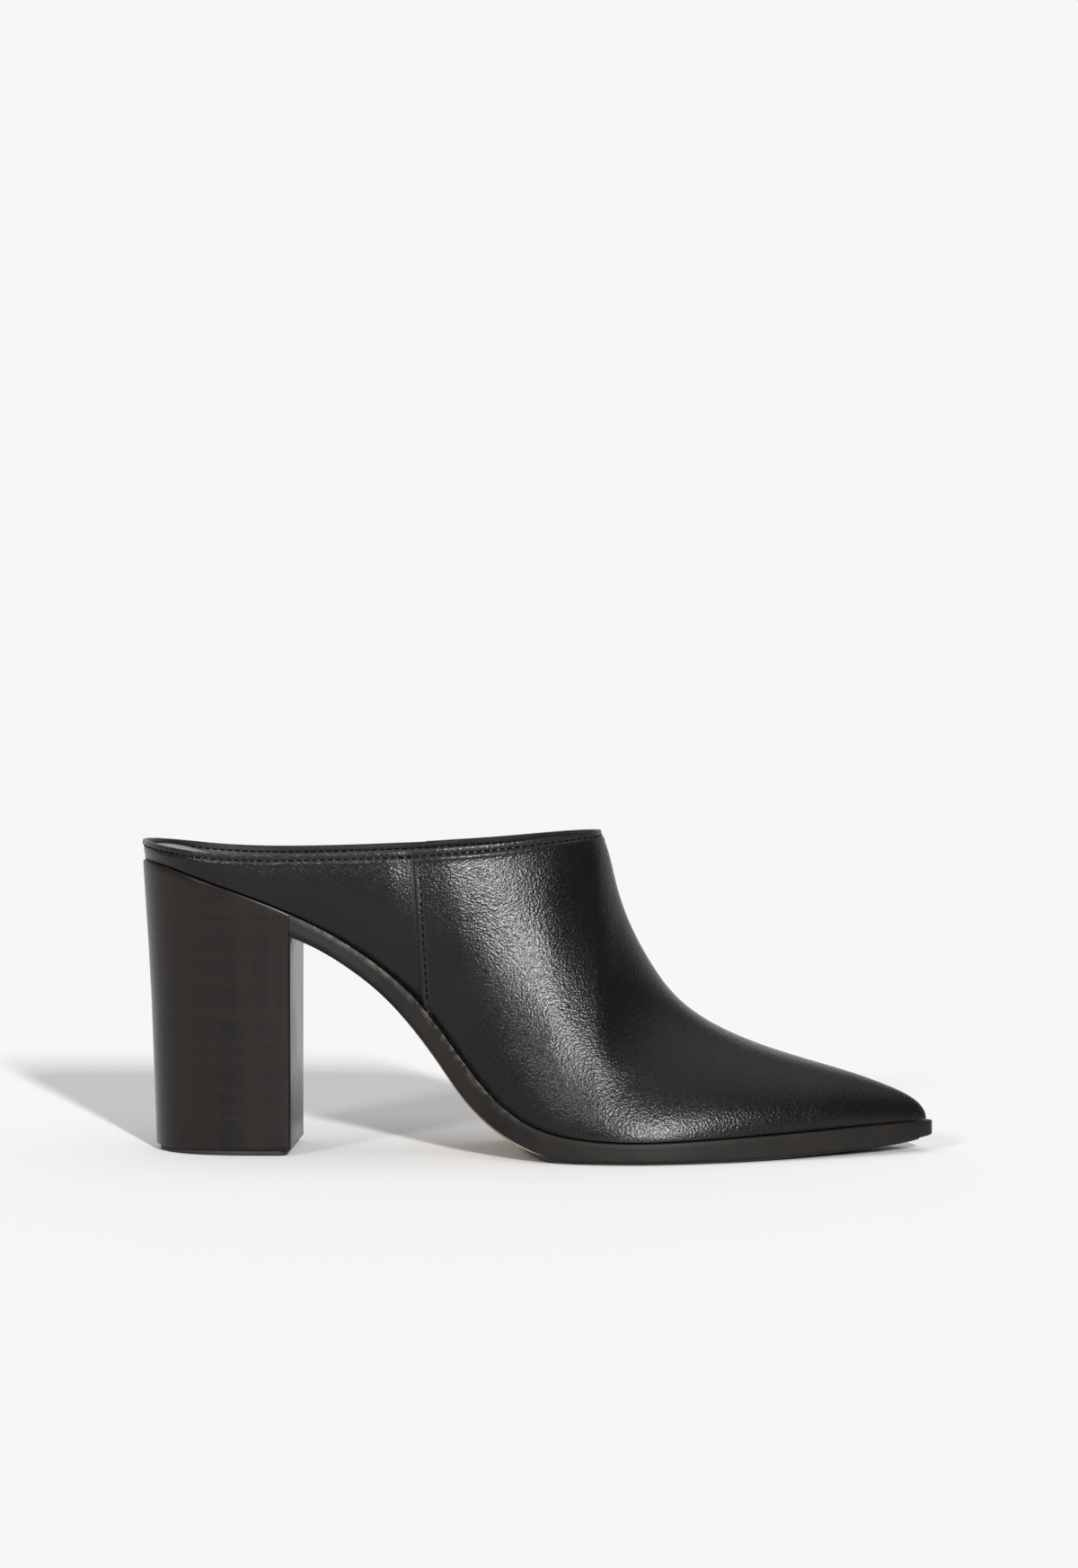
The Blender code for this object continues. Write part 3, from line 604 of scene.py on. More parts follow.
def leather_black(name="upper_leather"):
    n = Nodes(name)
    grain = n.cells(1330.0)
    pebble = n.noise(1700.0, 2.0, 0.5)
    fine = n.noise(3600.0, 3.0, 0.65)
    patch = n.noise(38.0, 3.0, 0.5)
    soft = n.noise(110.0, 2.0, 0.5)
    h1 = n.math("ADD", n.math("MULTIPLY", grain, 1.0), n.math("MULTIPLY", pebble, 1.1))
    h = n.math("ADD", h1, n.math("MULTIPLY", fine, 0.4))
    normal = n.bump(soft, 0.00025, 0.4)
    normal = n.bump(h, 0.000075, 1.0, normal)
    rim = n.attribute("rim")
    crevice = n.attribute("crevice")
    shade = n.mix(n.ramp(patch, 0.3, 0.7), (0.0016, 0.0015, 0.0013), (0.0028, 0.0026, 0.0023))
    shade = n.mix(n.ramp(fine, 0.6, 0.8, 0.0, 0.3), shade, (0.007, 0.0066, 0.006))
    # painted highlight: the leather is lighter along the topline edge, its stitch row and the vamp's seam edge,
    # where the rim attribute is high
    shade = n.mix(n.math("MULTIPLY", rim, 0.55), shade, (0.022, 0.020, 0.018))
    # painted shade: near black in the gap just above the sole, and on the quarter under and just behind the
    # vamp's edge
    shade = n.mix(crevice, shade, (0.0004, 0.0004, 0.0004))
    rough = n.math("ADD", n.ramp(patch, 0.25, 0.75, 0.21, 0.26), n.ramp(pebble, 0.35, 0.65, -0.03, 0.08))
    rough = n.math("ADD", rough, n.math("MULTIPLY", crevice, 0.5))
    return n.finish(shade, rough, normal, Specular_IOR_Level=0.29, Coat_Weight=0.02,
                    Coat_Roughness=0.3)


def leather_lining():
    n = Nodes("lining_leather")
    grain = n.cells(1500.0)
    fine = n.noise(4300.0, 2.0, 0.6)
    patch = n.noise(45.0, 3.0, 0.5)
    h = n.math("ADD", grain, n.math("MULTIPLY", fine, 0.6))
    normal = n.bump(h, 0.00008, 0.8)
    shade = n.mix(n.ramp(patch, 0.3, 0.7), (0.009, 0.0082, 0.0076), (0.017, 0.0155, 0.0145))
    return n.finish(shade, n.ramp(patch, 0.2, 0.8, 0.4, 0.5), normal, Specular_IOR_Level=0.45)


def leather_sock():
    n = Nodes("sock_leather")
    grain = n.cells(1300.0)
    fine = n.noise(4200.0, 2.0, 0.6)
    patch = n.noise(32.0, 4.0, 0.55)
    wear = n.noise(75.0, 3.0, 0.6)
    h = n.math("ADD", grain, n.math("MULTIPLY", fine, 0.5))
    normal = n.bump(wear, 0.0003, 0.4)
    normal = n.bump(h, 0.00006, 0.7, normal)
    x = n.axis("X")
    shade = n.mix(n.ramp(patch, 0.3, 0.7), (0.17, 0.167, 0.163), (0.25, 0.246, 0.24))
    shade = n.mix(n.ramp(wear, 0.55, 0.8, 0.0, 0.35), shade, (0.13, 0.125, 0.12))
    # painted shade: the sock darkens from the throat forward, where the vamp covers it
    shade = n.mix(n.ramp(x, 0.02, 0.09, 0.0, 0.45), shade, (0.11, 0.107, 0.104))
    return n.finish(shade, n.ramp(patch, 0.2, 0.8, 0.3, 0.42), normal, Specular_IOR_Level=0.5,
                    Coat_Weight=0.15, Coat_Roughness=0.3)


def edge_ink():
    """Outsole: inked edge above, natural leather where it faces the floor."""
    n = Nodes("sole_leather")
    speck = n.noise(2600.0, 3.0, 0.7)
    streak = n.noise(1.0, 4.0, 0.6, n.mapped((140.0, 140.0, 1500.0)))
    patch = n.noise(60.0, 3.0, 0.5)
    pores = n.cells(900.0)
    under = n.attribute("under")
    ink = n.mix(n.ramp(patch, 0.3, 0.7), (0.0055, 0.0045, 0.0038), (0.010, 0.0080, 0.0062))
    ink = n.mix(n.ramp(speck, 0.58, 0.76, 0.0, 0.55), ink, (0.040, 0.034, 0.027))
    tan = n.mix(n.ramp(patch, 0.3, 0.7), (0.36, 0.25, 0.155), (0.45, 0.325, 0.21))
    tan = n.mix(n.ramp(speck, 0.5, 0.8, 0.0, 0.4), tan, (0.27, 0.17, 0.10))
    # painted highlight: a thin, broken light line along the top rim of the inked edge, where the lip attribute is
    # high
    lip = n.attribute("lip")
    lip_on = n.math("MULTIPLY", lip, n.ramp(n.noise(420.0, 2.0, 0.6), 0.42, 0.62))
    ink = n.mix(n.math("MULTIPLY", lip_on, 0.7), ink, (0.26, 0.24, 0.21))
    shade = n.mix(under, ink, tan)
    h = n.math("ADD", n.math("MULTIPLY", speck, 0.7), n.math("MULTIPLY", streak, 0.6))
    h = n.math("ADD", h, n.math("MULTIPLY", pores, 0.3))
    normal = n.bump(h, 0.00009, 0.6)
    rough = n.math("ADD", n.ramp(patch, 0.25, 0.75, 0.44, 0.56), n.math("MULTIPLY", under, 0.1))
    return n.finish(shade, rough, normal, Specular_IOR_Level=0.2)


def rubber(name, low, high, pebble):
    n = Nodes(name)
    cell = n.cells(pebble)
    fine = n.noise(3300.0, 3.0, 0.65)
    patch = n.noise(50.0, 4.0, 0.6)
    dust = n.noise(14.0, 5.0, 0.7)
    h = n.math("ADD", n.math("MULTIPLY", cell, 1.0), n.math("MULTIPLY", fine, 0.4))
    normal = n.bump(h, 0.00014, 0.8)
    shade = n.mix(n.ramp(patch, 0.3, 0.7), low, high)
    shade = n.mix(n.ramp(dust, 0.55, 0.75, 0.0, 0.3), shade, (0.075, 0.07, 0.064))
    return n.finish(shade, n.ramp(fine, 0.3, 0.7, 0.6, 0.78), normal, Specular_IOR_Level=0.4)


def heel_lacquer():
    n = Nodes("heel_lacquer")
    layer = n.noise(1.0, 2.0, 0.5, n.mapped((6.0, 6.0, 520.0)))
    upright = n.noise(1.0, 3.0, 0.55, n.mapped((90.0, 90.0, 3.0)))
    speck = n.noise(2400.0, 3.0, 0.7)
    patch = n.noise(28.0, 3.0, 0.5)
    shade = n.mix(n.ramp(upright, 0.32, 0.68), (0.0022, 0.0018, 0.0015), (0.0075, 0.0052, 0.0041))
    shade = n.mix(n.ramp(layer, 0.45, 0.62, 0.0, 0.25), shade, (0.0115, 0.0078, 0.0058))
    shade = n.mix(n.ramp(speck, 0.68, 0.82, 0.0, 0.3), shade, (0.03, 0.025, 0.021))
    h = n.math("ADD", n.math("MULTIPLY", layer, 0.6), n.math("MULTIPLY", speck, 0.35))
    h = n.math("ADD", h, n.math("MULTIPLY", upright, 0.5))
    normal = n.bump(h, 0.00007, 0.5)
    return n.finish(shade, n.ramp(patch, 0.25, 0.75, 0.25, 0.34), normal, Specular_IOR_Level=0.24,
                    Coat_Weight=0.06, Coat_Roughness=0.22)


def thread():
    n = Nodes("thread_black")
    twist = n.noise(1.0, 2.0, 0.5, n.mapped((5200.0, 5200.0, 5200.0), (0.6, 0.5, 0.8)))
    tone = n.noise(300.0, 2.0, 0.5)
    shade = n.mix(n.ramp(tone, 0.3, 0.7), (0.0008, 0.0008, 0.0008), (0.0022, 0.0021, 0.0021))
    return n.finish(shade, n.ramp(twist, 0.3, 0.7, 0.62, 0.78), n.bump(twist, 0.00008, 0.8),
                    Specular_IOR_Level=0.07)


# -------------------------------------------------------------- the upper
def topline_rows():
    """Side view points of the topline, dense, from the heel to the throat."""
    x = np.concatenate([HEEL_TOP_X + (np.linspace(0, 1, 400) ** 2) * 10.0,
                        np.linspace(HEEL_TOP_X + 10.03, THROAT_X - 8.03, 1500),
                        THROAT_X - 8.0 * (np.linspace(1, 0, 400) ** 2)])
    z = topline_z(x)
    y = wall_y("lateral", x, z)
    y[0], y[-1] = 0.0, 0.0
    return np.stack([x, y, z], 1)


def lengths(points):
    return np.concatenate([[0.0], np.cumsum(np.sqrt((np.diff(points, axis=0) ** 2).sum(1)))])


TOP_EDGE = topline_rows()
TOP_RUN = lengths(TOP_EDGE)


def foot_rows():
    x = np.concatenate([HEEL_FOOT_X + (np.linspace(0, 1, 400) ** 2) * 10.0,
                        np.linspace(HEEL_FOOT_X + 10.03, RIB_FOOT_X, 1500)])
    return np.stack([x, feather_side["lateral"](x), feather_z(x)], 1)


FOOT_EDGE = foot_rows()
FOOT_RUN = lengths(FOOT_EDGE)


def split(points, run, x, first, last):
    """Values of running length where x has a value; first and last are not used."""
    return np.interp(x, points[:, 0], run)


def between(points, run, a, b, n):
    at = np.linspace(a, b, n + 1)
    return np.stack([np.interp(at, run, points[:, k]) for k in (0, 2)], 1)


def ribs_rear(n):
    """Quarter: from the back to a little past the seam, under the vamp."""
    a = np.interp(SEAM_TOP_X + 3.0, TOP_EDGE[:, 0], TOP_RUN)
    b = np.interp(SEAM_FOOT_X + 3.0, FOOT_EDGE[:, 0], FOOT_RUN)
    return between(FOOT_EDGE, FOOT_RUN, 0, b, n), between(TOP_EDGE, TOP_RUN, 0, a, n)


def ribs_side(n):
    """Vamp's side: from the seam to the throat."""
    a = np.interp(SEAM_TOP_X, TOP_EDGE[:, 0], TOP_RUN)
    b = np.interp(SEAM_FOOT_X, FOOT_EDGE[:, 0], FOOT_RUN)
    u = np.linspace(0, 1, n + 1)
    u = 0.12 * (1 - (1 - u) ** 3) + 0.88 * u
    at_top = a + (TOP_RUN[-1] - a) * u
    at_foot = b + (FOOT_RUN[-1] - b) * u
    foot = np.stack([np.interp(at_foot, FOOT_RUN, FOOT_EDGE[:, k]) for k in (0, 2)], 1)
    top = np.stack([np.interp(at_top, TOP_RUN, TOP_EDGE[:, k]) for k in (0, 2)], 1)
    return foot, top


def ribs_front(n):
    """Vamp's front: from the throat to the toe's tip, crest on top."""
    run = chords(CREST_LINE)
    u = np.linspace(0, 1, n + 1)[1:]
    share = u * (0.22 + 0.78 * u ** 0.6)
    share = share / share[-1]
    crest = np.stack([np.interp(share * run[-1], run, CREST_LINE[:, k]) for k in (0, 1)], 1)
    spread = share + 0.30 * share * (1 - share) * (share - 0.2)
    reach = RIB_FOOT_X + (FOOT_TIP_X - RIB_FOOT_X) * spread
    crowd = np.clip((share - 0.62) / 0.38, 0, 1)
    crowd = crowd * crowd * (3 - 2 * crowd)
    fx = reach * (1 - crowd) + np.minimum(crest[:, 0], FOOT_TIP_X) * crowd
    fx[-1] = FOOT_TIP_X
    return np.stack([fx, feather_z(fx)], 1), crest


def rib_points(side, foot, top, on_crest, rows_fine, rows_rest, closed_back=False, drop=0.0):
    """One rib, from the top down: fine rows first, then even rows."""
    u = 1 - (1 - np.linspace(0, 1, 170)) ** 2
    x = foot[0] + (top[0] - foot[0]) * u
    z = foot[1] + (top[1] - foot[1]) * u
    y = wall_y(side, x, z)
    if on_crest:
        y[-1] = float(crest_y(x[-1]))
    if closed_back:
        y[:] = 0.0
    line = np.stack([x, y, z + UPPER_GAP], 1)[::-1]
    run = lengths(line)
    total = run[-1]
    near = min(rows_fine * 0.3, 0.45 * total)
    at = np.concatenate([drop + np.linspace(0, near, rows_fine + 1)[:-1] * (1 - drop / max(near, 0.01)),
                         np.linspace(near, total, rows_rest + 1)])
    return np.stack([np.interp(at, run, line[:, k]) for k in range(3)], 1)


def sheet(parts, rows_fine, rows_rest, drop=0.0):
    """Points and faces of a skin on both sides, from lists of ribs.

    parts is a list of (foot, top, on crest). A crest part joins its two
    sides, and the last rib of a crest part is the toe's tip.
    """
    count = rows_fine + rows_rest + 1
    points, faces, base = [], [], {}
    for side in ("lateral", "medial"):
        base[side] = len(points)
        for part, (foot, top, crest) in enumerate(parts):
            for i, (b, t) in enumerate(zip(foot, top)):
                tip = crest and i == len(foot) - 1
                if tip:
                    p = np.repeat([[FOOT_TIP_X, float(crest_y(FOOT_TIP_X)),
                                    float(feather_z(FOOT_TIP_X)) + UPPER_GAP + 0.15]], count, 0)
                else:
                    back = part == 0 and i == 0 and abs(t[0] - HEEL_TOP_X) < 1e-6
                    p = rib_points(side, b, t, crest, rows_fine, rows_rest, back, drop)
                points.extend(p)
        ribs = (len(points) - base[side]) // count
        for i in range(ribs - 1):
            for j in range(count - 1):
                a = base[side] + i * count + j
                b = a + count
                quad = (a, a + 1, b + 1, b) if side == "lateral" else (a, b, b + 1, a + 1)
                faces.append(quad)
    return np.array(points), faces


def skin_object(name, points, faces, material, push, thickness, lift=0.0):
    """Weld a skin, push its points along their normals and give it a wall."""
    bm = bmesh.new()
    verts = [bm.verts.new(p) for p in points]
    for face in faces:
        try:
            bm.faces.new([verts[k] for k in face])
        except ValueError:
            pass
    bmesh.ops.remove_doubles(bm, verts=bm.verts, dist=0.004)
    bmesh.ops.dissolve_degenerate(bm, edges=bm.edges, dist=0.002)
    bm.normal_update()
    co = np.array([v.co[:] for v in bm.verts])
    no = np.array([v.normal[:] for v in bm.verts])
    step, marks = push(co)
    co = place(co + no * step[:, None])
    for v, p in zip(bm.verts, co):
        v.co = p
    mesh = bpy.data.meshes.new(name)
    bm.to_mesh(mesh)
    bm.free()
    for key, values in marks.items():
        layer = mesh.attributes.new(key, "FLOAT", "POINT")
        layer.data.foreach_set("value", values.astype(np.float32))
    mesh.materials.append(material)
    mesh.shade_smooth()
    obj = bpy.data.objects.new(name, mesh)
    bpy.context.scene.collection.objects.link(obj)
    shell = obj.modifiers.new("wall", "SOLIDIFY")
    shell.thickness = thickness * MM
    shell.offset = -1.0
    shell.use_even_offset = False
    round_edge = obj.modifiers.new("fold", "BEVEL")
    round_edge.width = 0.34 * MM
    round_edge.segments = 3
    round_edge.limit_method = "ANGLE"
    round_edge.angle_limit = math.radians(55)
    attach(obj, "root")
    return obj


def near_line(co, line, reach):
    """Distance to a 3D line of points, worked out only where it matters."""
    out = np.full(len(co), reach * 2.0)
    low, high = line.min(0) - reach, line.max(0) + reach
    near = np.where(((co > low) & (co < high)).all(1))[0]
    for k in range(0, len(near), 3000):
        part = near[k:k + 3000]
        gap = co[part][:, None, :] - line[None, :, :]
        out[part] = np.minimum(out[part], np.sqrt((gap ** 2).sum(2).min(1)))
    return out


def edge_loop(side):
    """Topline in 3D on one side."""
    x, z = TOP_EDGE[:, 0], TOP_EDGE[:, 2]
    y = wall_y(side, x, z)
    y[0], y[-1] = 0.0, 0.0
    return np.stack([x, y, z + UPPER_GAP], 1)


def resample(line, step):
    run = lengths(line)
    n = max(2, int(round(run[-1] / step)))
    at = np.linspace(0, run[-1], n + 1)
    return np.stack([np.interp(at, run, line[:, k]) for k in range(3)], 1)


LOOP = np.concatenate([resample(edge_loop("lateral"), 0.4), resample(edge_loop("medial"), 0.4)])


def bump_at(d, centre, width, height):
    return height * np.exp(-((d - centre) / width) ** 2)


def seam_x(z):
    u = np.clip((z - 46.0) / 46.0, 0, 1)
    return SEAM_FOOT_X + (SEAM_TOP_X - SEAM_FOOT_X) * u


def creases(co):
    """Soft troughs and ridges set one by one, in the shoe's own sizes."""
    x, y, z = co.T
    out = np.zeros(len(co))
    for cx, cz, dx, dz, wide, deep in CREASES:
        along = math.hypot(dx, dz)
        ux, uz = dx / along, dz / along
        s = (x - cx) * ux + (z - cz) * uz
        t = -(x - cx) * uz + (z - cz) * ux
        out += deep * np.exp(-(t / wide) ** 2) * np.exp(-(s / along) ** 2)
    return out


CREASE_COLUMNS = ("x", "z", "dx", "dz", "wide", "deep")
CREASES = [
    (-8.0, 62.0, 10.0, -30.0, 7.0, -0.25),
    (-20.0, 52.0, 8.0, -28.0, 6.0, 0.12),
    (12.0, 38.0, 16.0, -14.0, 5.0, 0.18),
    (30.0, 24.0, 20.0, 3.0, 5.0, -0.15),
    (-66.0, 82.0, 22.0, -3.0, 4.0, -0.12),
]


def push_vamp(co):
    d = near_line(co, LOOP, 8.0)
    step = (bump_at(d, STITCH_IN, 0.42, -0.24) + bump_at(d, STITCH_IN + 1.25, 0.7, 0.20)
            + bump_at(d, 0.3, 0.7, 0.10))
    behind = co[:, 0] - seam_x(co[:, 2])
    step += bump_at(behind, SEAM_STITCH_IN, 0.42, -0.22) + bump_at(behind, 0.5, 0.5, 0.12)
    step += creases(co)
    # rim marks where a painted highlight lightens the leather: the topline, its stitch row and the seam edge;
    # crevice marks painted shade just above the sole
    band = 0.75 * np.exp(-((d - STITCH_IN) / 0.9) ** 2)
    seam_band = 0.7 * np.exp(-((behind - SEAM_STITCH_IN) / 0.9) ** 2)
    return step, {"rim": np.maximum(np.exp(-d / 1.4) + 0.4 * np.exp(-np.abs(behind - 0.2) / 0.5),
                                    np.maximum(band, seam_band)),
                  "crevice": 0.7 * np.exp(-((co[:, 2] - feather_z(co[:, 0]) - UPPER_GAP) / 0.5) ** 2)}


def push_quarter(co):
    d = near_line(co, LOOP, 8.0)
    step = (bump_at(d, STITCH_IN, 0.42, -0.22) + bump_at(d, STITCH_IN + 1.25, 0.7, 0.08)
            + bump_at(d, 0.3, 0.7, 0.08))
    ahead = np.clip((co[:, 0] - seam_x(co[:, 2]) + 9.0) / 9.0, 0, 1)
    step -= 0.62 * ahead * ahead * (3 - 2 * ahead)
    step += creases(co)
    behind = co[:, 0] - seam_x(co[:, 2])
    # rim marks painted highlight along the topline and its stitch row; crevice marks painted shade under and just
    # behind the vamp's edge and just above the sole
    band = 0.75 * np.exp(-((d - STITCH_IN) / 0.9) ** 2)
    return step, {"rim": np.maximum(np.exp(-d / 1.4), band), "crevice": np.clip(np.exp(-(np.minimum(behind, 0.0) / 0.8) ** 2)
                  + 0.7 * np.exp(-((co[:, 2] - feather_z(co[:, 0]) - UPPER_GAP) / 0.5) ** 2), 0, 1)}


def push_lining(co):
    d = near_line(co, LOOP, 8.0)
    step = np.full(len(co), -(SKIN + 0.06))
    step += bump_at(d, STITCH_IN, 0.4, 0.1)
    return step, {"rim": np.exp(-d / 1.4)}


def make_upper():
    black = leather_black()
    rear_foot, rear_top = ribs_rear(120)
    side_foot, side_top = ribs_side(78)
    front_foot, front_top = ribs_front(118)
    p, f = sheet([(rear_foot, rear_top, False)], 14, 34)
    quarter = skin_object("quarter", p, f, black, push_quarter, SKIN)
    p, f = sheet([(side_foot, side_top, False), (front_foot, front_top, True)], 14, 52)
    vamp = skin_object("vamp", p, f, black, push_vamp, SKIN)
    lining_foot = np.concatenate([rear_foot[::2], side_foot[6::2]])
    lining_top = np.concatenate([rear_top[::2], side_top[6::2]])
    p, f = sheet([(lining_foot, lining_top, False), (front_foot[1::2], front_top[1::2], True)],
                 6, 22, drop=0.35)
    lining = skin_object("lining", p, f, leather_lining(), push_lining, LINING)
    for piece in (quarter, vamp):
        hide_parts("upper")
    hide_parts("upper")
    return quarter, vamp, lining


# ------------------------------------------------------------- the stitches
def capsule(centre, along, out, long, thick, high):
    """A small stitch: a rounded bar lying on the leather."""
    along = along / np.linalg.norm(along)
    out = out - along * (out @ along)
    out /= np.linalg.norm(out)
    across = np.cross(along, out)
    points, faces = [], []
    rings = ((-0.5, 0.25), (-0.38, 0.8), (0.0, 1.0), (0.38, 0.8), (0.5, 0.25))
    for s, r in rings:
        for k in range(7):
            a = 2 * math.pi * k / 7
            points.append(centre + along * (s * long) + across * (math.cos(a) * thick * r)
                          + out * (math.sin(a) * high * r))
    for i in range(len(rings) - 1):
        for k in range(7):
            a, b = i * 7 + k, i * 7 + (k + 1) % 7
            faces.append((a, b, b + 7, a + 7))
    faces.append(tuple(range(7))[::-1])
    faces.append(tuple(range(len(rings) * 7 - 7, len(rings) * 7)))
    return points, faces


def stitch_run(line, normals, inward, name, material, long=STITCH_LONG, pitch=STITCH_PITCH,
               sink=0.0, closed=False):
    """Stitches along a 3D line with its normals."""
    run = lengths(line)
    n = int(run[-1] / pitch)
    points, faces = [], []
    for k in range(n):
        at = (k + 0.5) * run[-1] / n
        c = np.array([np.interp(at, run, line[:, j]) for j in range(3)])
        c0 = np.array([np.interp(at - 0.8, run, line[:, j]) for j in range(3)])
        c1 = np.array([np.interp(at + 0.8, run, line[:, j]) for j in range(3)])
        o = np.array([np.interp(at, run, normals[:, j]) for j in range(3)])
        o /= np.linalg.norm(o)
        slant = 0.04 * math.sin(k * 2.4)
        p, f = capsule(c + o * (sink + 0.02 * math.sin(k * 1.7)), c1 - c0 + np.cross(o, c1 - c0) * slant,
                       o, long * (1 + 0.05 * math.sin(k * 3.1)), 0.27, 0.24)
        base = len(points)
        points += p
        faces += [tuple(base + v for v in face) for face in f]
    obj = object_from(name, np.array(points), faces, material, degrees=0, weld=0)
    outward(obj)
    return obj


def surface_frame(side, x, z):
    """Point and outward normal of the outer face at a side view point."""
    e = 0.15
    y = wall_y(side, x, z)
    dx = (wall_y(side, x + e, z) - wall_y(side, x - e, z)) / (2 * e)
    dz = (wall_y(side, x, z + e) - wall_y(side, x, z - e)) / (2 * e)
    sign = -1.0 if side == "lateral" else 1.0
    n = np.stack([-dx * sign, np.full(np.shape(x), sign), -dz * sign], 1)
    n /= np.linalg.norm(n, axis=1)[:, None]
    return np.stack([x, y, z + UPPER_GAP], 1), n


def offset_loop(side, down, out):
    """The topline moved down the wall by a distance, with its normals."""
    x = TOP_EDGE[:, 0].copy()
    z = TOP_EDGE[:, 2].copy()
    x_in = np.clip(x, HEEL_TOP_X + 0.4, THROAT_X - 0.15)
    p, n = surface_frame(side, x_in, topline_z(x_in) - 0.05)
    edge = np.stack([x, wall_y(side, x, z), z + UPPER_GAP], 1)
    edge[0, 1], edge[-1, 1] = 0.0, 0.0
    n[0] = (-1.0, 0.0, 0.1)
    n[-1] = (math.cos(math.radians(22)), 0.0, math.sin(math.radians(22)))
    for k in range(3):
        n[:, k] = soften(n[:, k], 1.0, 6.0)
    n /= np.linalg.norm(n, axis=1)[:, None]
    t = np.gradient(edge, axis=0)
    t /= np.linalg.norm(t, axis=1)[:, None]
    sign = 1.0 if side == "lateral" else -1.0
    drop = np.cross(n, t) * sign
    drop /= np.linalg.norm(drop, axis=1)[:, None]
    drop = np.where(drop[:, 2:3] > 0, -drop, drop)
    line = edge + drop * down + n * out
    line = resample_with(line, n, 0.5)
    return line


def resample_with(line, extra, step):
    run = lengths(line)
    n = max(2, int(round(run[-1] / step)))
    at = np.linspace(0, run[-1], n + 1)
    a = np.stack([np.interp(at, run, line[:, k]) for k in range(3)], 1)
    b = np.stack([np.interp(at, run, extra[:, k]) for k in range(3)], 1)
    return a, b


def make_stitches():
    black = thread()
    for side in ("lateral", "medial"):
        line, n = offset_loop(side, STITCH_IN, -0.14)
        piece = stitch_run(line, n, True, f"stitch_top_{side}", black)
        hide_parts("upper")
        line, n = offset_loop(side, STITCH_IN, -(SKIN + LINING + 0.05))
        piece = stitch_run(line, -n, True, f"stitch_inside_{side}", black)
        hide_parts("upper")
        z = np.linspace(47.0, 89.6, 120)
        x = seam_x(z) + SEAM_STITCH_IN
        keep = z > feather_z(x) + 1.2
        p, n = surface_frame(side, x[keep], z[keep])
        piece = stitch_run(p - n * 0.08, n, True, f"stitch_seam_{side}", black)
        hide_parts("upper")


# ------------------------------------------------------------------ the sole
def paint(obj, **marks):
    """Store values that depend on a vertex's place, read in millimetres."""
    co = np.array([v.co[:] for v in obj.data.vertices]) / MM + np.array([ORIGIN[0], ORIGIN[1], 0])
    for key, value in marks.items():
        layer = obj.data.attributes.new(key, "FLOAT", "POINT")
        layer.data.foreach_set("value", value(co).astype(np.float32))


def band(name, rows, n, material, open_rear=False, open_front=False, u=None, degrees=35.0, across=1):
    """A closed plate with a profiled edge, as in the solids but finer."""
    u = stations(n, not open_rear, not open_front) if u is None else u
    n = len(u) - 1
    points, faces = [], []
    for lateral, medial, first, last, height in rows:
        x = first + (last - first) * u
        yl, ym = np.array(lateral(x)), np.array(medial(x))
        if not open_rear:
            yl[0] = ym[0] = (yl[0] + ym[0]) / 2
        if not open_front:
            yl[-1] = ym[-1] = (yl[-1] + ym[-1]) / 2
        z = height(x)
        points += [np.stack([x, yl, z], 1), np.stack([x, ym, z], 1)]
    width = n + 1
    last_row = len(rows) - 1
    stack = np.concatenate(points)

    def at(row, side, i):
        return (2 * row + side) * width + i

    extra = []

    def cap(row, flip):
        """Flat face between the two sides, split across its width."""
        shares = np.linspace(0, 1, across + 1)
        columns = []
        for s in shares:
            if s in (0.0, 1.0):
                columns.append([at(row, int(s), i) for i in range(width)])
                continue
            ids = []
            for i in range(width):
                p = stack[at(row, 0, i)] * (1 - s) + stack[at(row, 1, i)] * s
                ids.append(len(stack) + len(extra))
                extra.append(p)
            columns.append(ids)
        for c in range(across):
            for i in range(n):
                quad = [columns[c][i], columns[c][i + 1], columns[c + 1][i + 1], columns[c + 1][i]]
                faces.append(quad[::-1] if flip else quad)
        return columns

    cap(0, False)
    cap(last_row, True)
    for i in range(n):
        for row in range(last_row):
            faces.append([at(row + 1, 0, i), at(row + 1, 0, i + 1), at(row, 0, i + 1), at(row, 0, i)])
            faces.append([at(row, 1, i), at(row, 1, i + 1), at(row + 1, 1, i + 1), at(row + 1, 1, i)])
    everything = np.concatenate([stack] + ([np.array(extra)] if extra else []))
    obj = weld_object(name, everything, faces, material, degrees, open_rear or open_front)
    return obj


def weld_object(name, points, faces, material, degrees, fill):
    bm = bmesh.new()
    verts = [bm.verts.new(p) for p in place(points)]
    for face in faces:
        try:
            bm.faces.new([verts[k] for k in face])
        except ValueError:
            pass
    bmesh.ops.remove_doubles(bm, verts=bm.verts, dist=0.000003)
    bmesh.ops.dissolve_degenerate(bm, edges=bm.edges, dist=0.000001)
    if fill:
        rim = [e for e in bm.edges if len(e.link_faces) == 1]
        if rim:
            bmesh.ops.holes_fill(bm, edges=rim, sides=0)
    bmesh.ops.recalc_face_normals(bm, faces=bm.faces)
    mesh = bpy.data.meshes.new(name)
    bm.to_mesh(mesh)
    bm.free()
    mesh.materials.append(material)
    mesh.shade_smooth()
    mesh.set_sharp_from_angle(angle=math.radians(degrees))
    obj = bpy.data.objects.new(name, mesh)
    bpy.context.scene.collection.objects.link(obj)
    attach(obj, "root")
    return obj


def waist(x):
    """1 in the waist, 0 under the ball and toe."""
    u = np.clip((6.0 - np.asarray(x, float)) / 26.0, 0, 1)
    return u * u * (3 - 2 * u)


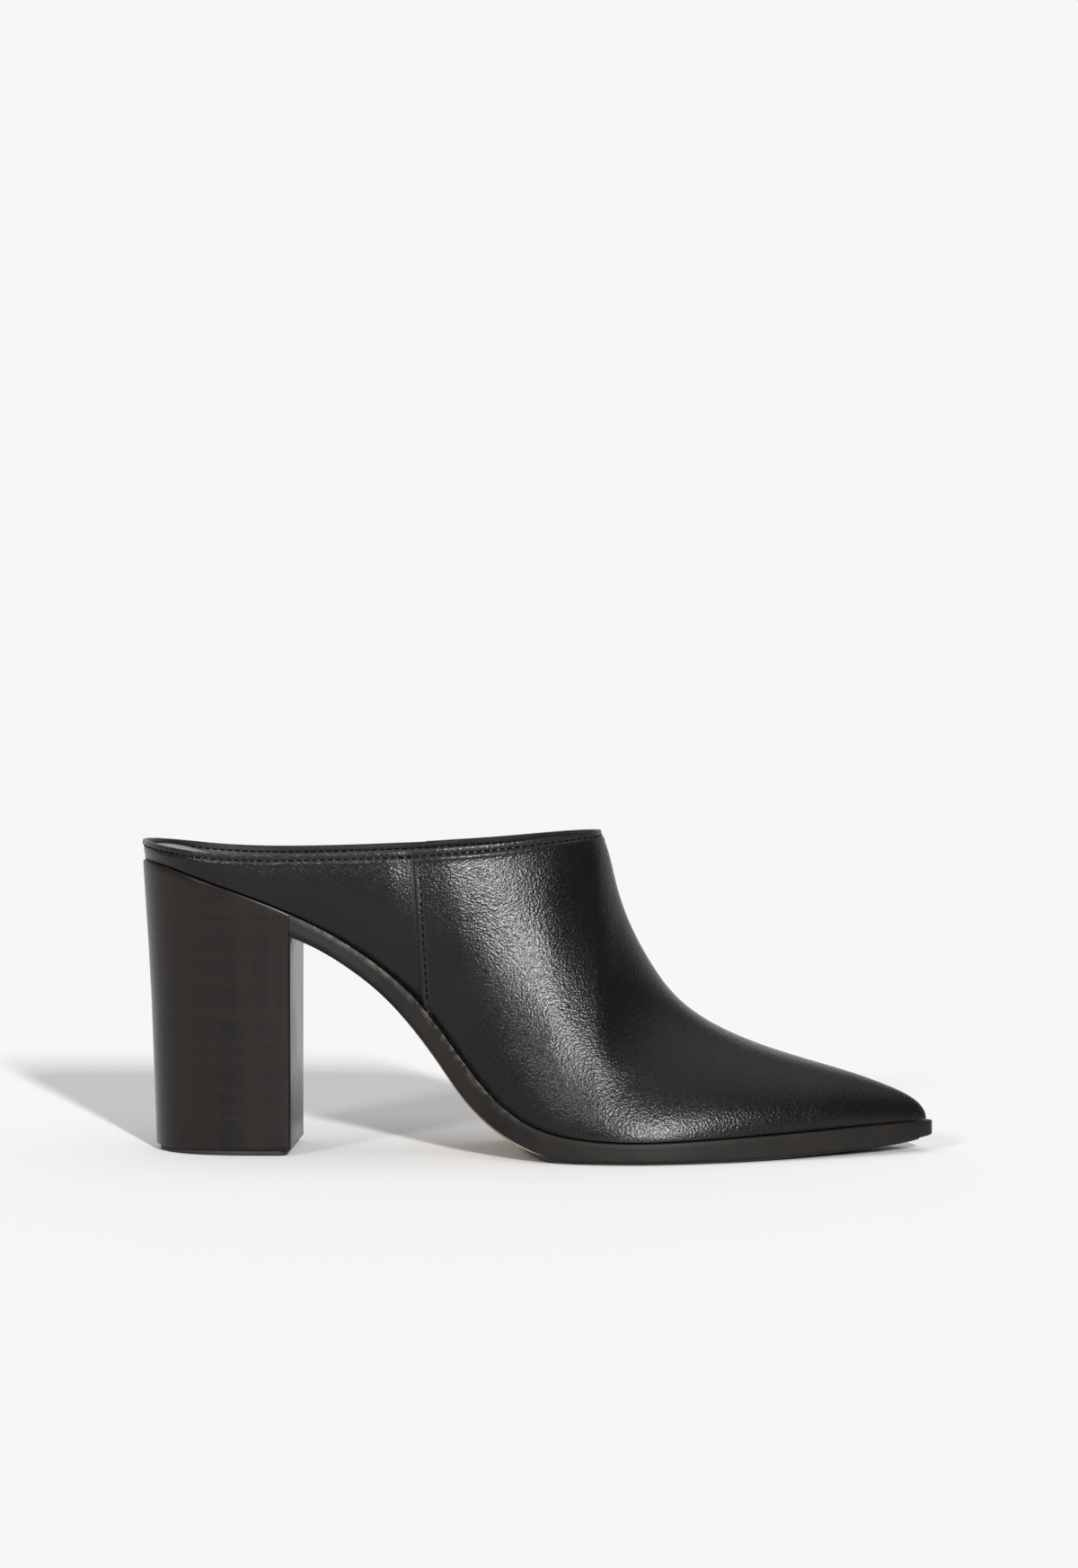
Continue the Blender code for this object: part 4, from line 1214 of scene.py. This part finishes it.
def make_sole():
    first = BREAST_X + 0.03
    profile = [  # inset from the outline, share of the way down, extra drop
        (0.45, 0.0, 0.0), (0.12, 0.0, 0.10), (0.0, 0.0, 0.38), (0.04, 0.30, 0.0), (0.02, 0.46, 0.0),
        (0.02, 0.60, 0.0),
    ]
    rows = []
    for inset, share, drop in profile:
        pair = outline.parallel(inset)
        rows.append((*pair, first, float(pair[0].x[-1]) - 0.01,
                     lambda x, s=share, d=drop: feather_z(x) - d - s * (feather_z(x) - under_z(x))))
    for k in range(6):
        a = math.pi / 2 * k / 5
        def inset(x, a=a):
            return (0.5 + 1.3 * waist(x)) * (1 - math.cos(a))
        pair = outline.parallel(inset)
        rows.append((*pair, first, float(pair[0].x[-1]) - 0.01,
                     lambda x, a=a: under_z(x) + (0.55 + 1.5 * waist(x)) * (1 - math.sin(a))))
    sole = band("sole_leather_layer", rows, 320, edge_ink(), open_rear=True, across=10)

    def under(co):
        normal_z = np.array([v.normal[2] for v in sole.data.vertices])
        gap = co[:, 2] - under_z(co[:, 0])
        back = np.clip((4.0 - co[:, 0]) / 6.0, 0, 1)
        edge = 0.80 - 0.50 * np.clip((co[:, 0] + 50.0) / 20.0, 0, 1)
        return np.clip((0.9 - gap) / 0.5, 0, 1) * np.clip((-normal_z - edge) / 0.18, 0, 1) * back

    # lip: the thin band along the edge's top rim that gets the painted highlight line
    def lip(co):
        gap = np.abs(feather_z(co[:, 0]) - 0.18 - co[:, 2])
        place_x = np.clip((co[:, 0] + 72.0) / 6.0, 0, 1) * np.clip((-2.0 - co[:, 0]) / 12.0, 0, 1)
        return np.exp(-(gap / 0.16) ** 2) * place_x

    paint(sole, under=under, lip=lip)
    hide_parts("outsole")
    return sole


def make_tread():
    corner = 9.0

    def cut(side, sign):
        def y(x):
            t = np.clip((np.asarray(x) - PATCH_REAR) / corner, 0, 1)
            return side(x) - sign * corner * (1 - roundover(t))
        return y

    rows = []
    for extra, drop in ((0.0, 0.0), (0.0, 0.45), (0.1, 0.66), (0.32, 0.8)):
        pair = outline.parallel(lambda x, e=extra: PATCH_INSET + e + (PATCH_FRONT_INSET - PATCH_INSET)
                                * np.clip((x - 70.0) / 50.0, 0, 1))
        tip = float(min(pair[0].x[-1], pair[1].x[-1]))
        rows.append((cut(pair[0], -1.0), cut(pair[1], 1.0), PATCH_REAR + extra, tip,
                     lambda x, d=drop: under_z(x) - 0.06 - d * (PATCH + PATCH_GAP - 0.06) / 0.8))
    u = np.concatenate([[0, 0.002, 0.005, 0.009, 0.015, 0.023, 0.033, 0.046, 0.06],
                        np.linspace(0.075, 0.9, 120), [0.915, 0.93, 0.945, 0.958, 0.97, 0.98, 0.99, 0.996, 1.0]])
    tread = band("tread", rows, 0, rubber("tread_rubber", (0.010, 0.010, 0.010), (0.020, 0.019, 0.019), 620.0),
                 open_rear=True, u=u, across=8)
    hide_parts("half_sole")
    return tread


def rounded_front(side, sign, radius, end):
    def y(x):
        t = np.clip((end - np.asarray(x)) / radius, 0, 1)
        return side(x) - sign * radius * (1 - roundover(t))
    return y


def make_heel():
    levels = np.concatenate([[1.0, 0.9965, 0.992], np.linspace(0.97, 0.02, 36), [0.0045, 0.0015, 0.0]])
    pulls = np.concatenate([[0.42, 0.12, 0.0], np.zeros(36), [0.0, 0.1, 0.35]])
    u = np.concatenate([(1 - np.cos(np.linspace(0, math.pi / 2, 60))) * 0.55,
                        np.linspace(0.56, 0.965, 40), [0.972, 0.979, 0.985, 0.99, 0.994, 0.997, 0.999, 1.0]])
    rows = []
    seat = float(under_z(BREAST_X + 1.0))
    for level, pull in zip(levels, pulls):
        lateral, medial, first, last, height = block_rows((level,), inset=pull)[0]
        if level > 0.98:
            last = BREAST_X
        below = float(np.clip((seat + 0.4 - height(np.array([BREAST_X]))[0]) / 2.0, 0, 1))
        radius = 0.05 + 1.25 * below * below * (3 - 2 * below)
        rows.append((rounded_front(lateral, -1.0, radius, last), rounded_front(medial, 1.0, radius, last),
                     first, last, height))
    block = band("heel_stack", rows, 0, heel_lacquer(), open_front=True, u=u, across=1, degrees=50.0)
    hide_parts("heel_block")
    rows = []
    for extra, z in ((0.2, LIFT + LIFT_GAP - 0.04), (0.0, LIFT - 0.1), (0.0, 0.35), (0.12, 0.1), (0.4, 0.0)):
        lateral, medial, first, last, _ = block_rows((0.0,), inset=LIFT_INSET + extra)[0]
        rows.append((rounded_front(lateral, -1.0, 2.6, last), rounded_front(medial, 1.0, 2.6, last),
                     first, last, lambda x, z=z: np.full(np.shape(x), z)))
    lift = band("top_piece", rows, 0, rubber("lift_rubber", (0.008, 0.008, 0.008), (0.016, 0.015, 0.015), 900.0),
                open_front=True, u=u, across=1)
    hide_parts("heel_lift")
    return block, lift


def make_sock():
    """Sock lining over the insole, dished a little at the heel."""
    start, end = HEEL_FOOT_X + 2.2, 113.0
    u = stations(170, True, True)
    x = start + (end - start) * u
    z = feather_z(x) + SEAT_GAP + insole_thick(x)
    rim = {}
    for side, sign in (("lateral", -1.0), ("medial", 1.0)):
        inner = wall_y(side, x, z) - sign * (WALL + 0.25)
        low = outline.parallel(lambda v: welt_inset(v) + WALL + 0.35)[0 if side == "lateral" else 1](x)
        rim[side] = sign * np.maximum(0.0, np.minimum(np.abs(inner - crest_y(x)), np.abs(low - crest_y(x)) + 1.2)) + crest_y(x)
    rim["lateral"][0] = rim["medial"][0] = 0.0
    cols = 28
    points, faces = [], []
    for i in range(len(x)):
        for c in range(cols + 1):
            s = -math.cos(math.pi * c / cols)
            y = rim["lateral"][i] * (1 - s) / 2 + rim["medial"][i] * (1 + s) / 2
            heel = np.clip((-40.0 - x[i]) / 30.0, 0, 1)
            dish = -0.7 * heel * (1 - s * s) + 0.5 * (1 - heel) * (1 - s * s) * 0.5
            roll = -0.35 * max(0.0, abs(s) - 0.97) / 0.03
            points.append((x[i], y, z[i] + dish + roll))
    for i in range(len(x) - 1):
        for c in range(cols):
            a = i * (cols + 1) + c
            faces.append((a, a + cols + 1, a + cols + 2, a + 1))
    points = np.array(points)
    obj = weld_object("sock", points, faces, leather_sock(), 60.0, False)
    for face in obj.data.polygons:
        pass
    thick = obj.modifiers.new("board", "SOLIDIFY")
    thick.thickness = 1.6 * MM
    up = np.array([p.normal[2] for p in obj.data.polygons]).mean() > 0
    thick.offset = -1.0 if up else 1.0
    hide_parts("insole")
    return obj


# ------------------------------------------------------- floor, light, camera
def stage():
    bpy.ops.mesh.primitive_plane_add(size=30.0, location=(0, 0, -0.00005))
    floor = bpy.context.active_object
    floor.name = "floor"
    n = Nodes("floor_paper")
    tone = n.noise(3.0, 2.0, 0.5)
    floor.data.materials.append(n.finish(n.mix(tone, (0.80, 0.80, 0.80), (0.81, 0.81, 0.81)), 0.85,
                                         n.bump(n.noise(900.0, 2.0), 0.00002, 0.3),
                                         Specular_IOR_Level=0.1))
    world = bpy.data.worlds.new("studio")
    bpy.context.scene.world = world
    world.use_nodes = True
    tree = world.node_tree
    back = tree.nodes["Background"]
    path = tree.nodes.new("ShaderNodeLightPath")
    coord = tree.nodes.new("ShaderNodeTexCoord")
    parts = tree.nodes.new("ShaderNodeSeparateXYZ")
    tree.links.new(coord.outputs["Generated"], parts.inputs[0])

    def fade(axis, low, high, out_low, out_high):
        node = tree.nodes.new("ShaderNodeMapRange")
        node.interpolation_type = "SMOOTHSTEP"
        for key, value in (("From Min", low), ("From Max", high), ("To Min", out_low), ("To Max", out_high)):
            node.inputs[key].default_value = value
        tree.links.new(parts.outputs[axis], node.inputs["Value"])
        return node.outputs["Result"]

    def joined(op, a, b):
        node = tree.nodes.new("ShaderNodeMath")
        node.operation = op
        tree.links.new(a, node.inputs[0])
        tree.links.new(b, node.inputs[1])
        return node.outputs[0]

    overhead = fade("Z", *OVERHEAD)
    rear = joined("MULTIPLY", fade("Y", *REAR_WALL), fade("Z", 0.3, 0.6, 1.0, 0.0))
    room = joined("ADD", overhead, rear)
    mixer = tree.nodes.new("ShaderNodeMix")
    mixer.data_type = "FLOAT"
    tree.links.new(room, mixer.inputs["A"])
    mixer.inputs["B"].default_value = BACKDROP
    tree.links.new(path.outputs["Is Camera Ray"], mixer.inputs["Factor"])
    tree.links.new(mixer.outputs["Result"], back.inputs["Strength"])
    back.inputs["Color"].default_value = (1.0, 1.0, 1.0, 1.0)
    for name, azimuth, height, strength, angle in LAMPS:
        light = bpy.data.lights.new(name, "SUN")
        light.energy = strength
        light.angle = math.radians(angle)
        obj = bpy.data.objects.new(name, light)
        bpy.context.scene.collection.objects.link(obj)
        a, h = math.radians(azimuth), math.radians(height)
        to_light = Vector((math.sin(a) * math.cos(h), -math.cos(a) * math.cos(h), math.sin(h)))
        obj.rotation_euler = to_light.to_track_quat("Z", "Y").to_euler()


OVERHEAD = (0.62, 0.88, 0.16, 0.95)     # from, to, room below, softbox above
REAR_WALL = (0.2, 0.55, 0.0, 0.7)       # from, to, nothing, white wall behind
BACKDROP = 0.93
LAMPS = [  # name, azimuth from the front, height, strength, size in degrees
    ("right_high", 18.0, 23.4, 1.35, 2.4),
    ("right_middle", 18.0, 21.0, 1.45, 2.4),
    ("right_low", 18.0, 18.6, 1.35, 2.4),
    ("left_soft", -27.0, 24.0, 1.05, 8.0),
]

VIEW_DISTANCE = 1495.0
VIEW_AZIMUTH = math.radians(2.6)
VIEW_HEIGHT = 177.0
AIM_HEIGHT = 111.6
FOCAL_PIXELS = 5472.0


def camera():
    eye = np.array([VIEW_DISTANCE * math.sin(VIEW_AZIMUTH), -VIEW_DISTANCE * math.cos(VIEW_AZIMUTH), VIEW_HEIGHT])
    aim = np.array([0.0, 0.0, AIM_HEIGHT])
    data = bpy.data.cameras.new("camera")
    data.sensor_width = 36.0
    data.sensor_fit = "AUTO"
    data.lens = FOCAL_PIXELS * 36.0 / 1745.0
    data.clip_start = 0.05
    data.clip_end = 60.0
    obj = bpy.data.objects.new("camera", data)
    bpy.context.scene.collection.objects.link(obj)
    obj.location = place(eye)
    look = Vector(aim - eye)
    obj.rotation_euler = look.to_track_quat("-Z", "Y").to_euler()
    bpy.context.scene.camera = obj


camera()
stage()
bpy.context.scene.view_settings.view_transform = "Standard"
make_upper()
make_stitches()
make_sole()
make_tread()
make_heel()
make_sock()
